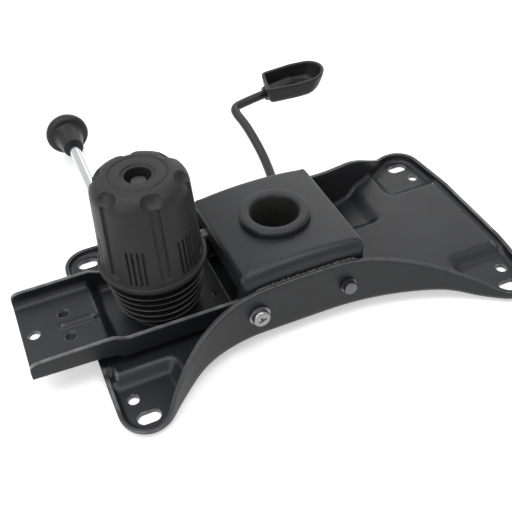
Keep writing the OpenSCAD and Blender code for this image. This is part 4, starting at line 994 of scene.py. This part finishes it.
def tension_spring():
    """Round wire along a helix, with one closed turn at each end."""
    wire, mean, turns = 5.5, 14.0, 8
    low, high = SPRING_LOW[2] + wire / 2, SPRING_HIGH[2] - wire / 2
    t = np.linspace(0, turns, turns * 40 + 1)
    end_pitch = wire + 0.6
    middle = (high - low - 2 * end_pitch) / (turns - 2)
    levels = [low, low + end_pitch, low + end_pitch + middle * (turns - 2), high]
    z = np.interp(t, [0, 1, turns - 1, turns], levels)
    path = np.stack([BOLT_X + mean * np.cos(TURN * t), mean * np.sin(TURN * t), z], -1)
    thing = mesh_object("tension_spring_wire", [tube(path, wire / 2, wire / 2, 14)], 60)
    dress(thing, None, "spring_steel", SPRING_STEEL, "tension_spring")
    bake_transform(thing)


# Height lever

LEVER_D = 6.5
LEVER_FLAT = 1.2
BUSH_X = PIN_X + 1.1
BUSH_Y = 40.3
BUSH_Z = 10.5
PADDLE_AT = (SOCKET_X + 53, 160.4, 29.2)


def lever_route():
    """Corner points of the height lever, from its tongue under the socket to the paddle."""
    tongue = np.array([SOCKET_X + 1, -3, BUSH_Z])
    inner = np.array([BUSH_X, BUSH_Y - 14, BUSH_Z])
    return [
        tongue, (tongue + inner) / 2, inner, [BUSH_X, BUSH_Y, BUSH_Z], [BUSH_X, BUSH_Y + 14, BUSH_Z],
        [SOCKET_X + 34, 85.8, 13], [SOCKET_X + 36.2, 104, 17], [SOCKET_X + 36.6, 122, 21.5],
        [SOCKET_X + 36.2, 138, 25], [SOCKET_X + 34.4, 150, 27.5], [SOCKET_X + 35.6, 155.6, 28.2],
        [SOCKET_X + 41, 158.8, 28.5], [SOCKET_X + 84, 164.6, 31],
    ]


def lever_rod():
    """Round rod along the rounded route; its inner end is hammered flat."""
    path = evenly(rounded_route(lever_route()), 240)
    run = np.linalg.norm(path - path[0], axis=1)
    flat = 1 - smooth_step(run, 14, 22)
    rod = tube(path, LEVER_D / 2 + LEVER_FLAT * flat, LEVER_D / 2 - LEVER_FLAT * flat, 28)
    thing = mesh_object("height_lever_rod", [rod], 60)
    return dress(thing, "height_lever", "black_coat", LEVER_COAT, "lever_rod")


def swung(grid, tip, turn):
    """Points tipped up about Y and then turned about Z, by angles in radians."""
    x, y, z = grid.T
    x, z = x * math.cos(tip) - z * math.sin(tip), x * math.sin(tip) + z * math.cos(tip)
    x, y = x * math.cos(turn) - y * math.sin(turn), x * math.sin(turn) + y * math.cos(turn)
    return np.stack([x, y, z], -1)


def lever_paddle():
    """Scoop: a deep tray in its own plan, tipped and turned against the rod's end, with a tube for the rod.
    Its sides draw in below the rim, most at the tip."""
    route = np.array(lever_route()[-2:], float)
    run = route[1] - route[0]
    turn = math.atan2(run[1], run[0])
    tip = math.atan2(run[2], math.hypot(run[0], run[1]))
    length, half, height, wall = 46.0, 15.5, 15.0, 2.5
    start, drop, rise, aside = 11.0, 4.5, math.radians(4), math.radians(20)
    boss_r, boss_from, boss_to = 5.4, start - 1.5, 34.0
    draft_x, draft_y = 8.0, 0.10
    nose = half * 0.98
    plan = np.concatenate([
        [[0.0, 0.0], [0.0, -half * 0.78], [2.0, -half * 0.86]],
        arc_points((length * 0.5, 0), half, 264, 276, 6),
        arc_points((length - nose, 0), nose, -72, 72, 40),
        arc_points((length * 0.5, 0), half, 84, 96, 6),
        [[2.0, half * 0.86], [0.0, half * 0.78]],
    ])
    edge, inward = closed_outline(plan, 0.7, 12)
    rim = np.full(len(edge), height - drop)

    def floor(x, y):
        return 0 * x - drop + wall + 0.012 * y ** 2

    points = tray(edge, inward, rim, floor, middle_line(edge, 14, length - nose), wall, bend=2.4, lip=0.9,
                  wall_steps=8, floor_steps=22)
    below = np.clip((height - drop - points[..., 2]) / height, 0, 1)
    points[..., 0] -= draft_x * below ** 1.4 * smooth_step(points[..., 0], 14, length)
    points[..., 1] *= 1 - draft_y * below
    scoop, faces = surface(points, wrap_u=True)
    boss_path = eased([(0, boss_from), (boss_r, boss_from), (boss_r, boss_to), (0, boss_to)], 1.2, 5)
    parts = [(swung(scoop, rise, -aside) + (start, 0, 0), faces), turned(boss_path, (0, 0, 0), "x", 40)]
    thing = mesh_object("height_lever_paddle", [
        (swung(grid, tip, turn) + PADDLE_AT, faces) for grid, faces in parts], 45)
    return dress(thing, "height_lever", "knob_plastic", LEVER_PLASTIC, "lever_paddle")


# Lock lever

def lock_lever():
    """Chrome rod with a chamfered tip and a mushroom knob, both turned about the rod's axis."""
    r = (ROD_HIGH[0] - ROD_LOW[0]) / 2
    low, high = ROD_LOW[1], ROD_HIGH[1]
    bar_path = [(0, low), (r - 0.8, low), (r, low + 0.8), (r, high - 0.5), (r - 0.5, high), (0, high)]
    rod = turned(eased(bar_path, 0.2, 3), (LOCK_X, 0, LOCK_Z), "y", 64)
    dress(mesh_object("lock_rod_bar", [rod]), "lock", "rod_chrome", CHROME, "lock_rod")
    hub, top = LOCK_KNOB_LOW[1], LOCK_KNOB_HIGH[1]
    head_r = (LOCK_KNOB_HIGH[0] - LOCK_KNOB_LOW[0]) / 2
    neck = hub + 0.53 * (top - hub)
    edge_r = 4
    widest = neck + edge_r
    angle = np.linspace(-math.pi / 2, math.pi / 2, 30)
    under, over = angle[:14], angle[15:]
    lower = np.stack([head_r - edge_r + edge_r * np.cos(under), widest + edge_r * np.sin(under)], -1)
    upper = np.stack([head_r * np.cos(over), widest + (top - neck - edge_r) * np.sin(over)], -1)
    stem = eased([(r + 0.05, hub), (7.1, hub), (7.3, hub + 1), (10.4, neck - 1.2), (11.6, neck)], 0.8, 4)
    profile = np.concatenate([[(0, hub)], stem, lower[1:], upper])
    profile[-1, 0] = 0
    knob = turned(profile, (LOCK_X, 0, LOCK_Z), "y", 96)
    thing = mesh_object("lock_knob_moulding", [knob], 50)
    return dress(thing, "lock", "knob_plastic", LEVER_PLASTIC, "lock_knob")


# Fasteners on the side walls

def stop_screw():
    """Turned screw with a pan head on the near side and a cross recess cut in it."""
    near, far = SCREW_LOW[1], SCREW_HIGH[1]
    head_r = (SCREW_HIGH[0] - SCREW_LOW[0]) / 2
    shank, head, dome, chamfer = 3.0, 4.0, 1.9, 0.6
    angle = quarter(9)
    crown = np.stack([head_r - dome + dome * np.sin(angle), -dome * np.cos(angle) + near + dome], -1)
    profile = np.concatenate([[(0, near)], crown, [
        (head_r, near + head), (shank, near + head), (shank, far - chamfer), (shank - chamfer, far),
        (0, far)]])
    thing = mesh_object("stop_screw_turned", [turned(profile, (STOP_X, 0, PIN_Z), "y", 64)])
    blade, thick, depth = 2.9, 0.65, 2.4
    y = np.array([near - 1, near - 1, near + depth, near + depth])
    for tilt in (20, 110):
        a = math.radians(tilt)
        ring = np.array([(-blade, -thick), (blade, -thick), (blade, thick), (-blade, thick)])
        ring = ring @ np.array([(math.cos(a), math.sin(a)), (-math.sin(a), math.cos(a))])
        flat = np.stack([ring * 0, ring, ring * 0.45, ring * 0], 1)
        grid = np.stack([STOP_X + flat[..., 0], np.broadcast_to(y, (4, 4)), PIN_Z + flat[..., 1]], -1)
        drilled(thing, [surface(grid, wrap_u=True)], 30)
    return dress(thing, "base", "zinc_plate", ZINC, "stop_screw")


def pivot_pin():
    """Turned pin with chamfered ends and a ring groove outside each wall."""
    low, high, r = PIN_LOW[1], PIN_HIGH[1], (PIN_HIGH[0] - PIN_LOW[0]) / 2
    deep, half, chamfer = r - 0.8, 0.5, 0.6
    grooves = [point for at in (-44.3, 44.3) for point in (
        (r, at - half), (deep, at - half), (deep, at + half), (r, at + half))]
    profile = [(0, low), (r - chamfer, low), (r, low + chamfer), *grooves,
               (r, high - chamfer), (r - chamfer, high), (0, high)]
    thing = mesh_object("pivot_pin_turned", [turned(eased(profile, 0.15, 2), (PIN_X, 0, PIN_Z), "y", 64)])
    return dress(thing, "base", "zinc_plate", DULL_ZINC, "pivot_pin")


def finish_small_parts():
    """Materials of the CAD nodes that stay as they are."""
    finishes = (
        (ZINC, ("stop_washers", "stop_nut", "spring_foot_cup", "spring_head_cup", "thrust_washer",
                "lever_rings", "lock_collar")),
        (DARK_ZINC, ("tension_bolt", "back_bar_nuts", "knob_nut")),
        (DULL_ZINC, ("pivot_rings",)),
        (NYLON, ("lever_bush", "lock_bush", "arm_bushes")),
        (COAT, ("lock_bracket",)),
    )
    for material, nodes in finishes:
        for node in nodes:
            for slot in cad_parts[node].material_slots:
                slot.material = material


# Stage, light and camera

def seen_share(tree):
    """1 for rays from the camera, from a gloss and through glass, 0 for the others."""
    ray = tree.nodes.new("ShaderNodeLightPath")
    seen = arithmetic(tree, "MAXIMUM", ray.outputs["Is Camera Ray"], ray.outputs["Is Glossy Ray"])
    return arithmetic(tree, "MAXIMUM", seen, ray.outputs["Is Transmission Ray"])


def white_to_camera(name, colour, strength):
    """A floor that looks white to the camera and in reflections and still takes the object's shadow."""
    material = bpy.data.materials.new(name)
    material.use_nodes = True
    tree = material.node_tree
    shader = tree.nodes["Principled BSDF"]
    shader.inputs["Base Color"].default_value = (*colour, 1)
    shader.inputs["Roughness"].default_value = 0.9
    shader.inputs["Specular IOR Level"].default_value = 0.1
    shader.inputs["Emission Color"].default_value = (1, 1, 1, 1)
    glow = arithmetic(tree, "MULTIPLY", seen_share(tree), strength)
    tree.links.new(glow, shader.inputs["Emission Strength"])
    return material


def floor_and_world():
    """A pale floor just under the ear pads, and a world that is white where seen and dimmer as light."""
    mesh = bpy.data.meshes.new("studio_floor")
    half, low = 4.0, -0.0003
    square = [(-half, -half, low), (half, -half, low), (half, half, low), (-half, half, low)]
    mesh.from_pydata(square, [], [(0, 1, 2, 3)])
    mesh.materials.append(white_to_camera("pale_floor", (0.82, 0.82, 0.82), 0.45))
    new_object("studio_floor", mesh)
    world = bpy.data.worlds.new("white_world")
    bpy.context.scene.world = world
    world.use_nodes = True
    tree = world.node_tree
    back = tree.nodes["Background"]
    back.inputs["Color"].default_value = (1, 1, 1, 1)
    as_light = 0.38
    level = arithmetic(tree, "MULTIPLY_ADD", seen_share(tree), 1 - as_light, as_light)
    tree.links.new(level, back.inputs["Strength"])


def lamp(name, place, aim, size, power):
    """A square area lamp at a place, turned to a point, in metres and watts."""
    data = bpy.data.lights.new(name, "AREA")
    data.shape = "SQUARE"
    data.size = size
    data.energy = power
    thing = new_object(name, data)
    thing.location = place
    way = Vector(np.array(aim, float) - np.array(place, float))
    thing.rotation_euler = way.to_track_quat("-Z", "Y").to_euler()


def lights():
    """Soft overhead light and weaker ones from the left front, from behind and from the near side."""
    lamp("overhead_softbox", (-0.40, 0.20, 1.1), (0, 0, 0), 1.1, 9.5)
    lamp("left_softbox", (-0.95, -0.50, 0.65), (-0.05, 0, 0.03), 0.7, 4.4)
    lamp("back_softbox", (0.55, 0.95, 0.7), (0, 0, 0.03), 0.8, 2.6)
    lamp("near_softbox", (0.25, -0.30, 1.05), (0, 0, 0.03), 0.5, 3.6)


AZIMUTH, ELEVATION, ROLL = -20.2, 42.1, -4.1
FOCAL_PIXELS, DISTANCE, SHIFT_X, SHIFT_Y = 800.5, 495.3, -13.5, -15.8
PHOTO_PIXELS = 512
SOCKET_TO_FIT = 9.5


def camera():
    """Camera fitted to the photograph by azimuth, elevation, roll, distance and a side step, in degrees and
    mm. The fit had its origin on the socket's axis."""
    a, e, r = (math.radians(v) for v in (AZIMUTH, ELEVATION, ROLL))
    back = Vector((math.sin(a) * math.cos(e), -math.cos(a) * math.cos(e), math.sin(e)))
    right = (-back).cross(Vector((0, 0, 1))).normalized()
    up = right.cross(-back)
    across = math.cos(r) * right + math.sin(r) * up
    upright = -math.sin(r) * right + math.cos(r) * up
    place = back * DISTANCE + across * SHIFT_X - upright * SHIFT_Y
    data = bpy.data.cameras.new("photo_camera")
    data.sensor_width = 36.0
    data.lens = FOCAL_PIXELS / PHOTO_PIXELS * data.sensor_width
    data.clip_start = 0.01
    thing = new_object("photo_camera", data)
    turn = Matrix((across, upright, back)).transposed().to_4x4()
    thing.matrix_world = Matrix.Translation((place - Vector((SOCKET_TO_FIT, 0, 0))) * MM) @ turn
    bpy.context.scene.camera = thing


seat_plate()
centre_housing()
welds()
column_socket()
back_arm()
tension_knob()
spring_boot()
tension_spring()
lever_rod()
lever_paddle()
lock_lever()
stop_screw()
pivot_pin()
finish_small_parts()
floor_and_world()
lights()
camera()
bpy.context.scene.view_settings.view_transform = "Standard"
